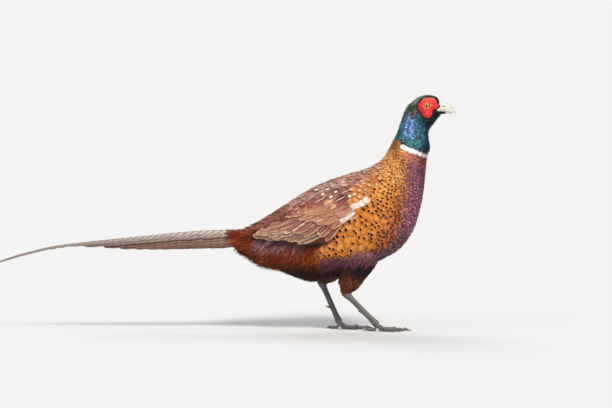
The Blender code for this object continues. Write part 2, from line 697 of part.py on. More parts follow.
def make_spur(name, sign, heel, ankle, shank, folder, finishes):
    """The cock's spur, a blunt cone on the inner back of the shank."""
    base = heel + (ankle - heel) * 0.62
    way = np.array([-0.85, -0.45 * sign, 0.1])
    way /= np.linalg.norm(way)
    rings = [
        ring_about(base + way * (2.0 + SPUR_LENGTH * s), way, 2.9 * (1 - 0.85 * s), 2.6 * (1 - 0.85 * s), 8)
        for s in np.linspace(0, 1, 5)
    ]
    spur = loft("spur_" + name, rings, finishes["claw"], folder)
    return cut_clear(spur, shank)


def build():
    """Clears the scene and makes every piece of the pheasant."""
    for old in list(bpy.data.objects):
        bpy.data.objects.remove(old)
    folder = bpy.data.collections.new("pheasant")
    bpy.context.scene.collection.children.link(folder)
    finishes = {
        "head": material("green_black_head_feathers", (0.015, 0.075, 0.07), 0.35),
        "neck": material("blue_green_neck_feathers", (0.01, 0.13, 0.18), 0.35),
        "body": material("copper_body_feathers", (0.52, 0.17, 0.03), 0.6),
        "rump": material("rufous_rump_feathers", (0.3, 0.06, 0.015), 0.7),
        "wing": material("maroon_wing_feathers", (0.33, 0.13, 0.07), 0.65),
        "tail": material("barred_tail_feathers", (0.4, 0.26, 0.15), 0.65),
        "thigh": material("brown_black_thigh_feathers", (0.12, 0.05, 0.025), 0.75),
        "leg": material("grey_leg_scales", (0.17, 0.15, 0.14), 0.55),
        "bill": material("pale_bill_horn", (0.8, 0.74, 0.6), 0.4),
        "claw": material("dark_claw_horn", (0.09, 0.07, 0.06), 0.4),
        "wattle": material("red_wattle_skin", (0.75, 0.02, 0.02), 0.5),
        "eye": material("amber_eye", (0.75, 0.4, 0.06), 0.15),
    }
    surface = finer_body()
    head = make_head(surface, folder, finishes)
    body_length("neck", HEAD_END, NECK_END, 0.4, finishes["neck"], folder)
    torso = body_length("torso", NECK_END, TORSO_END, 0.55, finishes["body"], folder)
    rump = body_length("rump", TORSO_END, RUMP_END, 0.4, finishes["rump"], folder)
    for side in SIDES.items():
        make_eye(side, folder, finishes)
        make_wattle(side, surface, folder, finishes)
        wing = make_wing(side, surface, folder, finishes)
        cut_clear(wing, torso, rump)
        make_leg(side, torso, folder, finishes)
    make_bill(head, folder, finishes)
    tail = make_tail(folder, finishes)
    cut_clear(tail, rump)


build()
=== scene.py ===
"""The looks of a cock common pheasant that stands still with its head up: one skin, the feathers over it as closed
vanes, the long feathers of wings and tail, and the legs, claws, eyes, bare skin and bill.

Metres, +Z up. The bill points along +X and the bird's left side is +Y, as in the part's source. Shapes are worked
out in millimetres as whole arrays, and new_piece() turns them to metres.
A place on the body is a station u, which counts from the bill's base (0) to the root of the tail (21), and a turn t,
which counts round the body from the back (0) over the bird's left side (0.25) to the belly (0.5) and the right side.
"""

import math

import bmesh
import bpy
import numpy as np
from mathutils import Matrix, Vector, kdtree


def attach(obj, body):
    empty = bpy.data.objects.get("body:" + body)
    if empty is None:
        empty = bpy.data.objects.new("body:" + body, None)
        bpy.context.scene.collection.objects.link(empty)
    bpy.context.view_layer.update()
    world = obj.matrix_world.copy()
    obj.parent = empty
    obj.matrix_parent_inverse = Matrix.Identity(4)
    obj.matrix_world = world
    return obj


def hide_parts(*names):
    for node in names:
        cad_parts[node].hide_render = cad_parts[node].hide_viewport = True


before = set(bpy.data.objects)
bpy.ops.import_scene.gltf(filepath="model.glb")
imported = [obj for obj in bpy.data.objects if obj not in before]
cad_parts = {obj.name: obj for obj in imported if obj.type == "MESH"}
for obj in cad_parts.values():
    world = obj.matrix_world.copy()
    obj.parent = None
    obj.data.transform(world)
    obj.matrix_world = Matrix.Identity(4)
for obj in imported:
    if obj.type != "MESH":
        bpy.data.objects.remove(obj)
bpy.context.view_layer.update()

MM = 0.001
SIDES = {"right": -1, "left": 1}

# Named sizes, in millimetres
EYE_CENTRE = np.array([313.4, 9.2, 347.5])
EYE_RADIUS = 5.6
LID_OPENING = (4.5, 3.9)
EAR_TUFT = (294.0, 11.0, 348.5)
TARSUS_LENGTH = 70.0
TARSUS_RADIUS = 3.9
TOE_RADIUS = 3.4
TOE_JOINT_HEIGHT = 9.0
CLAW_LENGTH = 12.0
SPUR_LENGTH = 11.0
SPUR_PLACE = 0.62  # share of the way from the heel to the toes' joint
COAT_DEPTH = 3.4
THIGH_COAT = 1.8
PATCH = 0.003  # side of a feather's patch on the map for baking, as a share of the map
PHOTO_WIDTH = 0.9486  # metres that the picture spans at the bird: 612 pixels of 1.55 mm

# Stations of the body from the bill to the tail: top x and z, bottom x and z, half width, pear.
# The last three lie past the body's end and carry the tail coverts over the tail.
BODY = (
    (334.0, 356.0, 337.0, 337.5, 6.5, 0.00),
    (328.0, 361.0, 336.0, 333.0, 10.0, 0.00),
    (316.0, 363.8, 330.0, 326.0, 13.2, -0.04),
    (302.0, 361.0, 325.0, 319.0, 15.2, -0.08),
    (291.0, 353.0, 321.0, 314.0, 16.5, -0.08),
    (281.0, 341.0, 317.0, 307.0, 17.0, -0.06),
    (274.0, 323.0, 317.0, 296.0, 18.5, 0.00),
    (268.0, 305.0, 319.0, 281.0, 21.0, 0.00),
    (262.0, 293.0, 315.0, 269.0, 23.0, 0.00),
    (256.0, 281.0, 312.0, 246.0, 27.5, 0.00),
    (248.0, 268.0, 309.0, 216.0, 36.0, 0.00),
    (236.0, 257.0, 303.0, 185.0, 46.0, 0.02),
    (217.0, 248.0, 292.0, 152.0, 54.0, 0.04),
    (193.0, 241.0, 271.0, 124.0, 58.5, 0.05),
    (166.0, 232.0, 242.0, 108.0, 60.0, 0.06),
    (141.0, 222.0, 208.0, 92.0, 58.5, 0.06),
    (118.0, 208.0, 174.0, 79.0, 54.0, 0.06),
    (98.0, 196.0, 143.0, 75.0, 47.0, 0.06),
    (79.0, 183.0, 115.0, 81.0, 38.5, 0.05),
    (59.0, 171.0, 88.0, 94.0, 30.0, 0.02),
    (40.0, 161.0, 57.0, 101.0, 23.0, 0.00),
    (25.0, 155.0, 26.0, 120.0, 16.0, 0.00),
    (0.0, 153.5, -2.0, 123.0, 16.5, 0.00),
    (-30.0, 152.2, -34.0, 124.0, 16.5, 0.00),
    (-62.0, 150.6, -66.0, 125.5, 15.5, 0.00),
)
# Stations where the head's coat and the neck's end, and where the body and its coat end
HEAD_END = 4.7
NECK_END = 8.6
BODY_END = 21.0
COAT_END = 21.7
# A feather's length and half width over the feathers' spacing, and the share of its length that its colours are from
COAT_LENGTH, COAT_WIDTH, SHOWN = 2.55, 0.66, 0.6
# Stations of a thigh from the hip to the heel
THIGH_END = 8
# How often a station is found by halving, how much of the spacing squared a feather fills, how far in spacings
# feathers push each other, how hard, and the angle above which an edge stays sharp
HALVINGS, FILL, REACH, PUSH = 26, 0.87, 1.12, 0.28
SHARP_ANGLE = math.radians(50)


def spline(points, at):
    """Points on the Catmull-Rom curve through the rows of points: a cubic between each two rows whose slope at a
    row is half the step from the row before to the row after. Its parameter counts rows from 0."""
    rows = np.asarray(points, float).reshape(len(points), -1)
    rows = np.vstack([2 * rows[0] - rows[1], rows, 2 * rows[-1] - rows[-2]])
    at = np.clip(np.asarray(at, float), 0, len(rows) - 3)
    i = np.minimum(at.astype(int), len(rows) - 4)
    t = (at - i)[..., None]
    a, b, c, d = (rows[i + k] for k in range(4))
    return 0.5 * (2 * b + (c - a) * t + (2 * a - 5 * b + 4 * c - d) * t**2 + (3 * b - a - 3 * c + d) * t**3)


def smoothly(points, share):
    """Points at shares of the way, from 0 to 1, along the curve through points."""
    return spline(points, np.asarray(share, float) * (len(points) - 1))


def smooth(low, high, x):
    """0 below low, 1 above high, and 3s^2 - 2s^3 of the share s of the way between."""
    s = np.clip((np.asarray(x, float) - low) / (high - low), 0, 1)
    return s * s * (3 - 2 * s)


def unit(v):
    """Vectors of length 1 along v."""
    return v / np.maximum(np.linalg.norm(v, axis=-1, keepdims=True), 1e-9)


def dot(a, b):
    """The scalar products of the vectors in the last axis."""
    return (a * b).sum(-1)


def blend(a, b, share):
    """a where share is 0, b where it is 1, and in proportion between."""
    share = np.asarray(share)[..., None]
    return a * (1 - share) + b * share


def rgb(code):
    """The linear colour of an sRGB hex code: c/12.92 below 0.04045, else ((c + 0.055)/1.055)^2.4."""
    c = np.array([int(code[i : i + 2], 16) for i in (0, 2, 4)]) / 255
    return np.where(c <= 0.04045, c / 12.92, ((c + 0.055) / 1.055) ** 2.4)


# The body's surface


def body_point(u, t):
    """The body at station u and turn t: the middle of the section, plus cos of the turn times the half way up,
    plus sin of the turn times the half width, which the pear makes wider towards the top."""
    x0, z0, x1, z1, half_width, pear = np.moveaxis(spline(BODY, u), -1, 0)
    turn = math.tau * np.asarray(t, float)
    c, s = np.cos(turn), np.sin(turn)
    x, z = (x0 + x1) / 2 + c * (x0 - x1) / 2, (z0 + z1) / 2 + c * (z0 - z1) / 2
    return np.stack([x, s * half_width * (1 + pear * c), z], -1)


def slopes(shape, u, t):
    """The point of a shape at u and t, its change per station and per turn, and its outward normal, from small
    steps in u and t."""
    step_u, step_t = 0.02, 0.002
    along = (shape(u + step_u, t) - shape(u - step_u, t)) / (2 * step_u)
    around = (shape(u, t + step_t) - shape(u, t - step_t)) / (2 * step_t)
    return shape(u, t), along, around, unit(np.cross(around, along))


def side_place(x, z):
    """The station and the turn (0 to 0.5) of the body's side at x and z. The station is where the line from a
    section's top to its bottom passes through the place, found by halving; the cosine of the turn is the height."""
    x, z = np.broadcast_arrays(np.asarray(x, float), np.asarray(z, float))
    low, high = np.zeros(x.shape), np.full(x.shape, float(len(BODY) - 1))
    for _ in range(HALVINGS):
        middle = (low + high) / 2
        x0, z0, x1, z1 = np.moveaxis(spline(BODY, middle)[..., :4], -1, 0)
        before = (x - x0) * (z1 - z0) - (z - z0) * (x1 - x0) < 0
        low, high = np.where(before, low, middle), np.where(before, middle, high)
    x0, z0, x1, z1 = np.moveaxis(spline(BODY, low)[..., :4], -1, 0)
    height = 1 - 2 * ((x - x0) * (x1 - x0) + (z - z0) * (z1 - z0)) / ((x1 - x0) ** 2 + (z1 - z0) ** 2)
    return low, np.arccos(np.clip(height, -1, 1)) / math.tau


# Upper and lower outline of the folded wing under its coverts, from front to rear: x and z
WING_TOP = ((231, 203), (206, 223), (172, 223), (133, 207), (100, 188), (74, 172), (40, 152))
WING_BOTTOM = ((229, 203), (203, 182), (181, 171), (173, 154), (161, 137), (128, 134), (92, 140), (40, 144))


def wing_bulge(point):
    """How far the folded wing under its coverts lifts the coat: its lift, times smooth steps that rise from 0 a little
    outside its outline to 1 some ten millimetres inside it."""
    x, z = point[..., 0], point[..., 2]
    ramp = np.linspace(0, 1, 60)
    top, bottom = smoothly(WING_TOP, ramp)[::-1], smoothly(WING_BOTTOM, ramp)[::-1]
    inside_top = np.interp(x, top[:, 0], top[:, 1]) - z
    inside_bottom = z - np.interp(x, bottom[:, 0], bottom[:, 1])
    inside = smooth(-6, 12, inside_top) * smooth(-2, 8, inside_bottom) * smooth(236, 215, x) * smooth(36, 70, x)
    return wing_lift(x) * inside


def wing_lift(x):
    """How far the wing's surface stands out from the body at x: 2 mm at its front, soon 7, and 10 at its tip."""
    behind = np.clip((231 - x) / 191, 0, 1)
    return 2.0 + 5.0 * np.minimum(1, behind * 5) ** 0.5 + 3.0 * behind**2


def lifted(shape, u, t, height):
    """The place that stands height out from a shape. Over the folded wings the body's coat is lifted besides."""
    point, _, _, normal = slopes(shape, u, t)
    if shape is body_point:
        height = height + wing_bulge(point) * smooth(0.15, 0.6, np.abs(normal[..., 1]))
    return point + normal * height[..., None]


# Pieces and finishes


def new_piece(name, points, faces, made, slot, looks=None, patches=None, stands_for=()):
    """A mesh from points or grids of points in millimetres and faces of four corners, with looks as attributes of
    its points, a UV map for baking from patches, and smooth shading up to the sharp angle. It rides on the bird.
    Its slot is not used."""
    mesh = bpy.data.meshes.new(name)
    points, faces = np.asarray(points, np.float32).reshape(-1, 3), np.asarray(faces, np.int32)
    mesh.vertices.add(len(points))
    mesh.vertices.foreach_set("co", (points * MM).ravel())
    mesh.loops.add(faces.size)
    mesh.loops.foreach_set("vertex_index", faces.ravel())
    mesh.polygons.add(len(faces))
    mesh.polygons.foreach_set("loop_start", np.arange(len(faces), dtype=np.int32) * faces.shape[1])
    mesh.update(calc_edges=True)
    mesh.validate()
    for key, values in (looks or {}).items():
        set_attribute(mesh, key, values)
    if patches is not None:
        layer = mesh.uv_layers.new(name="OFBake")
        layer.data.foreach_set("uv", np.asarray(patches, np.float32)[faces.ravel()].ravel())
    mesh.shade_smooth()
    mesh.set_sharp_from_angle(angle=SHARP_ANGLE)
    mesh.materials.append(made)
    piece = bpy.data.objects.new(name, mesh)
    bpy.context.scene.collection.objects.link(piece)
    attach(piece, "root")
    if stands_for:
        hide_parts(*stands_for)
    return piece


def set_attribute(mesh, key, values):
    """Stores an attribute of the mesh's points: three numbers each as a vector, four as a colour."""
    values = np.asarray(values, np.float32)
    kind, field = ("FLOAT_VECTOR", "vector") if values.shape[1] == 3 else ("FLOAT_COLOR", "color")
    mesh.attributes.new(key, kind, "POINT").data.foreach_set(field, values.ravel())


def grid_faces(rows, columns, closed):
    """The faces of a grid of rows by columns of points, whose columns join up round when it is closed."""
    i = np.arange(rows - 1)[:, None]
    j = np.arange(columns if closed else columns - 1)[None, :]
    k = (j + 1) % columns
    return np.stack([i * columns + j, i * columns + k, (i + 1) * columns + k, (i + 1) * columns + j], -1).reshape(-1, 4)


def tube_faces(rows, columns):
    """The faces of a closed tube of rings, and the faces across its two ends, each between two halves of a ring.
    The number of columns is even."""
    j = np.arange(columns // 2 - 1)
    ends = []
    for start, way in ((0, 1), ((rows - 1) * columns, -1)):
        cap = np.stack([j, j + 1, columns - 2 - j, columns - 1 - j], -1) + start
        ends.append(cap[:, ::-1] if way > 0 else cap)
    return np.vstack([grid_faces(rows, columns, True), *ends])


def repeated(faces, count, points_each):
    """The faces of count like shapes, one after another."""
    return (faces[None] + (np.arange(count) * points_each)[:, None, None]).reshape(-1, faces.shape[1])


def add(tree, kind, inputs=(), out=0, **settings):
    """Adds a shader node of that kind, sets it up, and links or sets its inputs. It gives the output asked for."""
    node = tree.nodes.new("ShaderNode" + kind)
    for key, value in settings.items():
        setattr(node, key, value)
    for key, value in inputs.items() if isinstance(inputs, dict) else enumerate(inputs):
        if isinstance(value, bpy.types.NodeSocket):
            tree.links.new(value, node.inputs[key])
        else:
            node.inputs[key].default_value = (*value, 1) if isinstance(value, np.ndarray) else value
    return node.outputs[out]


# Settings of nodes that several materials use: soft ends to a range, one colour over another, a colour times a tone
SOFT = {"interpolation_type": "SMOOTHSTEP"}
OVER = {"data_type": "RGBA"}
TINT = {"data_type": "RGBA", "blend_type": "MULTIPLY"}


def finish(name, **constants):
    """A new Principled material. Its constants go to the shader's own sockets. It gives the material and its tree."""
    made = bpy.data.materials.new(name)
    made.use_nodes = True
    shader = made.node_tree.nodes["Principled BSDF"]
    for key, value in constants.items():
        socket = shader.inputs[key.replace("_", " ").title().replace("Ior", "IOR")]
        socket.default_value = (*value, 1) if isinstance(value, np.ndarray) else value
    return made, made.node_tree


def surfaced(made, colour, height=None, strength=0.0, depth=0.0):
    """The finish with its colour linked to its shader, and its relief, if it has one, depth metres deep."""
    tree = made.node_tree
    shader = tree.nodes["Principled BSDF"]
    tree.links.new(colour, shader.inputs["Base Color"])
    if height is not None:
        bump = add(tree, "Bump", {"Strength": strength, "Distance": depth, "Height": height})
        tree.links.new(bump, shader.inputs["Normal"])
    return made


def feather_sockets(tree):
    """What every feather material reads: how far along, across and near the margin of its vane a place lies, how far
    out from the shaft, and the colours and amounts of its ground, rim and mark."""
    vane = add(tree, "Attribute", attribute_name="vane", out=1)
    along, across, margin = add(tree, "SeparateXYZ", (vane,)).node.outputs
    outward = add(tree, "Math", (across,), operation="ABSOLUTE")
    attributes = (add(tree, "Attribute", attribute_name=key).node.outputs for key in ("ground", "rim", "mark"))
    return along, across, margin, outward, *attributes


def plumage(name, barbs, relief, roughness, **constants):
    """Feathers. The ground colour, lighter and darker by barbs that run slanting out from the shaft, and darker towards
    the root, which is painted shade where the feather above lies over it; a shaft line, a rim and a rufous band inside
    it, an oval spot with a dark ring, and fine bars across, each as strong as the feather's own attributes say.
    Real barbs stand 0.3 to 0.5 mm apart, too fine to show from where the camera is, so they are drawn coarser: barbs
    is how many show along one feather, and relief how deep they stand, in metres."""
    made, tree = finish(name, Roughness=roughness, **constants)
    along, across, margin, outward, ground, rim, mark = feather_sockets(tree)
    spot, lines = (
        add(tree, "SeparateXYZ", (add(tree, "Attribute", attribute_name=key, out=1),)).node.outputs
        for key in ("spot", "lines")
    )
    place = add(tree, "TexCoord", out=3)
    # Grain of 1.1 mm breaks lines up as parted barbs do, and patches of 6 mm make feathers differ
    grain = add(tree, "TexNoise", {0: place, "Scale": 900.0, "Detail": 3.0})
    wander = add(tree, "TexNoise", {0: place, "Scale": 160.0, "Detail": 2.0})

    slant = add(tree, "Math", (outward, -0.75, along), operation="MULTIPLY_ADD")
    wobble = add(tree, "Math", (grain, 0.05, slant), operation="MULTIPLY_ADD")
    wave = add(tree, "Math", (wobble, barbs * math.tau), operation="MULTIPLY")
    wave = add(tree, "Math", (wave,), operation="SINE")
    tone = add(tree, "MapRange", (wander, 0.3, 0.7, 0.78, 1.2))
    # The barbs' tone, and painted shade: each feather darker towards its root, where the one above lies over it
    for source in ((wave, -1.0, 1.0, 0.74, 1.1), (along, 0.15, 0.75, 0.5, 1.08)):
        tone = add(tree, "Math", (tone, add(tree, "MapRange", source)), operation="MULTIPLY")
    shaft = add(tree, "MapRange", (outward, 0.11, 0.03, 0.0, 1.0), **SOFT)
    # Ten bars along a feather: 5 to 11 mm apart on the wing, wider than the 4 to 6 mm of life, which would blur
    bars = add(tree, "Math", (grain, 5.0), operation="MULTIPLY")
    bars = add(tree, "Math", (along, 62.0, bars), operation="MULTIPLY_ADD")
    bars = add(tree, "MapRange", (add(tree, "Math", (bars,), operation="SINE"), 0.1, 0.8, 0.0, 1.0), **SOFT)
    edge = add(tree, "Math", (grain, 0.3, margin), operation="MULTIPLY_ADD")
    inner = add(tree, "MapRange", (edge, 0.42, 0.72, 0.0, 0.8), **SOFT)
    edge = add(tree, "MapRange", (edge, 0.74, 0.98, 0.0, 1.0), **SOFT)
    broken = add(tree, "MapRange", (wander, 0.38, 0.56, 0.35, 1.0), **SOFT)
    edge = add(tree, "Math", (edge, broken), operation="MULTIPLY")
    far_along = add(tree, "Math", (along, spot[0]), operation="SUBTRACT")
    far_along = add(tree, "Math", (far_along, spot[1]), operation="DIVIDE")
    far_across = add(tree, "Math", (across, spot[2]), operation="DIVIDE")
    far = add(tree, "VectorMath", (add(tree, "CombineXYZ", (far_along, far_across, 0.0)),), 1, operation="LENGTH")
    far = add(tree, "Math", (grain, 0.35, far), operation="MULTIPLY_ADD")
    ring = add(tree, "MapRange", (far, 1.95, 1.55, 0.0, 1.0), **SOFT)
    oval = add(tree, "MapRange", (far, 1.3, 1.0, 0.0, 1.0), **SOFT)

    colour = add(tree, "Mix", {0: 1.0, 6: ground["Color"], 7: tone}, 2, **TINT)
    for share, amount, over in (
        (bars, lines[2], rgb("271812")),
        (inner, ground["Alpha"], rgb("b06a3c")),
        (edge, rim["Alpha"], rim["Color"]),
        (shaft, lines[1], mark["Color"]),
        (ring, lines[0], rgb("241614")),
        (oval, mark["Alpha"], mark["Color"]),
    ):
        share = add(tree, "Math", (share, amount), operation="MULTIPLY")
        colour = add(tree, "Mix", {0: share, 6: colour, 7: over}, 2, **OVER)
    return surfaced(made, colour, wave, 0.8, relief)


# Feathers over the body


def scatter(spacing, first, last, chance, steps=12):
    """Roots spread evenly over the coat between two stations, as far apart as spacing says. They are drawn at random
    in proportion to the area of each cell over FILL times the spacing squared, then pushed apart step by step: each
    of a root's six nearest roots pushes it by PUSH times what their distance lacks to REACH times the spacing."""
    rows, columns = 300, 256
    u = first + (last - first) * (np.arange(rows) + 0.5) / rows
    u, t = np.meshgrid(u, (np.arange(columns) + 0.5) / columns, indexing="ij")
    point, along, around, _ = slopes(body_point, u, t)
    area = np.linalg.norm(np.cross(along, around), axis=-1) * (last - first) / rows / columns
    apart = spacing(u, point)
    weight = np.where(apart > 0, area / (FILL * np.maximum(apart, 0.1) ** 2), 0).ravel()
    cells = chance.choice(weight.size, int(weight.sum()), p=weight / weight.sum())
    u = u.ravel()[cells] + chance.uniform(-0.5, 0.5, len(cells)) * (last - first) / rows
    t = t.ravel()[cells] + chance.uniform(-0.5, 0.5, len(cells)) / columns
    for _ in range(steps):
        point, along, around, _ = slopes(body_point, u, t)
        tree = kdtree.KDTree(len(point))
        for i, place in enumerate(point):
            tree.insert(place, i)
        tree.balance()
        near = np.array([[n[1] for n in tree.find_n(place, 7)[1:]] for place in point])
        away = point[:, None] - point[near]
        far = np.maximum(np.linalg.norm(away, axis=-1), 0.01)
        reach = REACH * np.maximum(spacing(u, point), 1.0)
        push = (away / far[..., None] * np.maximum(0, reach[:, None] - far)[..., None]).sum(1) * PUSH
        du, dt = along_surface(push, along, around)
        u = np.clip(u + np.clip(du, -0.3, 0.3), first, last)
        t = (t + np.clip(dt, -0.05, 0.05)) % 1
    keep = spacing(u, body_point(u, t)) > 0
    return u[keep], t[keep]


def lie(shape, u, t, lean):
    """The point, slopes and normal of a shape at feathers' roots, the way each feather points and its way aside: the
    slope along the body turned by lean, on a body towards its belly on either side."""
    point, along, around, normal = slopes(shape, u, t)
    belly = (np.where(t < 0.5, 1, -1) if shape is body_point else np.ones(len(u)))[:, None]
    e1 = unit(along)
    e2 = np.cross(e1, normal) * belly
    way = np.cos(lean)[:, None] * e1 + np.sin(lean)[:, None] * e2
    side = (np.cos(lean)[:, None] * e2 - np.sin(lean)[:, None] * e1) * belly
    return point, along, around, way, side


def along_surface(step, along, around):
    """The steps in station and turn whose sum along the surface's two slopes is nearest to step: the two by two
    system of their scalar products, solved by its determinant."""
    e, f, g = dot(along, along), dot(along, around), dot(around, around)
    p, q = dot(step, along), dot(step, around)
    d = np.maximum(e * g - f * f, 1e-6)
    return (p * g - q * f) / d, (q * e - p * f) / d


def outline(a, tip, root_width):
    """A vane's half width along it: widening from its root over its first 45 %, and round past the share tip."""
    body = root_width + (1 - root_width) * smooth(0, 0.45, a)
    past = np.clip((a - tip) / (1 - tip), 0, 1)
    return body * np.sqrt(np.maximum(1 - past**2 * 0.97, 0))


def lay_feathers(name, made, slot, tract, rows, columns, tip, shape=body_point):
    """A coat piece of feathers from a tract of arrays, one value for each feather. Each feather is a closed vane whose
    rows run from root to tip. A row's points lie at shares of its width on the outer face and one at the middle of
    the inner face. They are laid along the surface: a straight step from the root, turned by lean, becomes a step in
    station and turn. Their height grows from -sunk at the root to rise at the tip, less the camber times the
    square of the share across."""
    u, t, lean = tract["u"], tract["t"], tract["lean"]
    a = np.linspace(0, 1, rows) ** 0.8
    b, below = vane_columns(columns)
    wide = outline(a, tip, 0.5)
    length, width, bend = (tract[k][:, None, None] for k in ("length", "width", "bend"))
    ahead = length * a[None, :, None] + 0 * b
    aside = width * wide[None, :, None] * b + bend * a[None, :, None] ** 2
    _, along, around, way, side = lie(shape, u, t, lean)
    step = ahead[..., None] * way[:, None, None] + aside[..., None] * side[:, None, None]
    du, dt = along_surface(step, along[:, None, None], around[:, None, None])
    sunk, rise, camber = (tract[k][:, None, None] for k in ("sunk", "rise", "camber"))
    height = rise * a[None, :, None] - sunk * (1 - a[None, :, None]) ** 1.3 - camber * b**2 * wide[None, :, None]
    height = height - below * (0.45 - 0.3 * a[None, :, None]) * tract["thick"][:, None, None]
    points = lifted(shape, u[:, None, None] + du, t[:, None, None] + dt, height)
    count, each = len(u), rows * len(b)
    margin = np.maximum(np.abs(b) + 0 * a[:, None], smooth(0.72, 1.0, a)[:, None])
    vane = np.stack([a[:, None] + 0 * b, b + 0 * a[:, None], margin], -1)
    looks = {"vane": np.broadcast_to(vane, (count, rows, len(b), 3)).reshape(-1, 3)}
    for key in ("ground", "rim", "mark", "spot", "lines"):
        looks[key] = np.repeat(tract[key], each, 0)
    if "below_collar" in tract:
        collar = collared(points.reshape(-1, 3), looks["ground"][:, :3], np.repeat(tract["below_collar"], each, 0))
        looks["ground"][:, :3], white = collar
        # Rims at 0.3 of the ground, except on the white collar: painted shade in the gaps between feathers
        looks["rim"][:, :3] = blend(looks["ground"][:, :3] * 0.3, looks["ground"][:, :3], white)
    elif shape is body_point:
        paint_patches(np.repeat(points[:, :, columns // 2], columns + 1, 1).reshape(-1, 3), looks)
    middle = patch_places(u, t, BODY_END + 1 if shape is body_point else THIGH_END + 0.2)
    patches = (middle[:, None, None] + patch_spread(a, b)).reshape(-1, 2)
    faces = repeated(vane_faces(rows, columns)[:, ::-1], count, each)
    new_piece(name, points, faces, made, slot, looks, patches)


def patch_places(u, t, last=BODY_END + 1):
    """The middles of the feathers' patches on the skin's unwrap: the turn across it and the station up it."""
    return np.stack([0.01 + 0.98 * (t % 1), 0.01 + 0.98 * u / last], -1)


def patch_spread(a, b):
    """Where the points of a vane lie in its patch, about the middle: across by b and up it by the share a."""
    return np.stack([b + 0 * a[:, None], 2 * a[:, None] - 1 + 0 * b], -1) * PATCH / 2


def vane_columns(columns):
    """The shares across a vane's width of a row's points, from -1 to 1 and then the inner point's 0, and 1 for the
    inner point and 0 for the others."""
    return np.append(np.linspace(-1, 1, columns), 0.0), np.append(np.zeros(columns), 1.0)


def vane_faces(rows, columns):
    """The faces of one vane whose rows have the outer face's columns and then one point of the inner face. The ends
    are closed by the faces between the outer face's points and the inner point, two columns at a time."""
    sides = grid_faces(rows, columns + 1, True)
    j = np.arange(0, columns - 1, 2)
    start = np.stack([j + 2, j + 1, j, 0 * j + columns], -1)
    end = np.stack([j, j + 1, j + 2, 0 * j + columns], -1) + (rows - 1) * (columns + 1)
    return np.vstack([sides[:, ::-1], start[:, ::-1], end[:, ::-1]])


# Colours of the plumage, by place

INK = rgb("0e0709")
CREAM = rgb("f8ecd4")
WHITE = rgb("f8f6f2")


def wattle_reach(turn):
    """How far the bare skin reaches from the eye in the direction turn, from the front round over the top."""
    share = (turn % math.tau) / math.tau
    return spline(np.tile(WATTLE_REACH, 3), (1 + share) * len(WATTLE_REACH))[..., 0]


WATTLE_REACH = (
    *(19.0, 16.8, 16.8, 15.6, 13.8, 12.4, 11.9, 11.8),
    *(11.5, 11.0, 11.2, 12.2, 13.5, 13.6, 13.1, 13.3),
    *(14.9, 17.4, 19.2, 18.4, 16.0, 12.8, 12.2, 17.0),
)


def past_wattle(point):
    """How far outside the bare skin's outline a place lies, measured from the eye."""
    x, z = point[..., 0] - EYE_CENTRE[0], point[..., 2] - EYE_CENTRE[2]
    return np.hypot(x, z) - wattle_reach(np.arctan2(z, x))


def bell(x, middle, spread):
    """exp of minus the square of the distance from the middle over the spread."""
    return np.exp(-(((x - middle) / spread) ** 2))


def breast_share(point):
    """1 on the purple breast, which lies ahead of a line down the side, and 0 behind it."""
    x, z = point[..., 0], point[..., 2]
    return smooth(-8, 8, x - breast_line(z))


def breast_line(z):
    """Where the purple breast begins at the height z: the x of a line down the side of the breast."""
    return np.interp(z, (100, 126, 146, 175, 215, 254, 290), (228, 250, 266, 277, 283, 282, 284))


def belly_share(point):
    """1 under the line along the lower flank, where the coat is black with a purple gloss, and 0 above it."""
    return smooth(6, -7, point[..., 2] - belly_line(point[..., 0]))


def belly_line(x):
    """The height at x of the line along the lower flank."""
    return np.interp(x, (60, 120, 140, 170, 220, 254, 300), (80, 92, 104, 116, 113, 119, 130))


def rear_share(point):
    """1 behind the line down the rear of the flank and over the back, where the coat is rufous."""
    x, z = point[..., 0], point[..., 2]
    return smooth(9, -9, x - np.interp(z, (90, 123, 140, 165, 190, 215), (152, 147, 157, 130, 106, 84)))


def back_share(point):
    """1 on the back and on the shoulders over the wings, where the feathers are maroon with cream spots."""
    x, z = point[..., 0], point[..., 2]
    line = np.interp(x, (74, 100, 133, 158, 170, 184, 200), (170, 186, 202, 200, 186, 180, 196))
    front = np.interp(z, (196, 206, 216, 230, 246), (183, 187, 196, 212, 236))
    return smooth(9, -9, x - front) * smooth(-4, 4, z - line)


def varied(chance, count, codes):
    """For each of count feathers a colour drawn at random from the line through the colours of two or more codes."""
    colours = np.array([rgb(code) for code in codes.split()])
    place = chance.random(count) * (len(colours) - 1)
    low = np.minimum(place.astype(int), len(colours) - 2)
    return blend(colours[low], colours[low + 1], place - low)


def painted(ground, chance, *layers):
    """The ground with layers over it one after another: each has the codes that its colours are drawn between and
    the share by which it covers each feather."""
    for codes, share in layers:
        ground = blend(ground, varied(chance, len(ground), codes), share)
    return ground


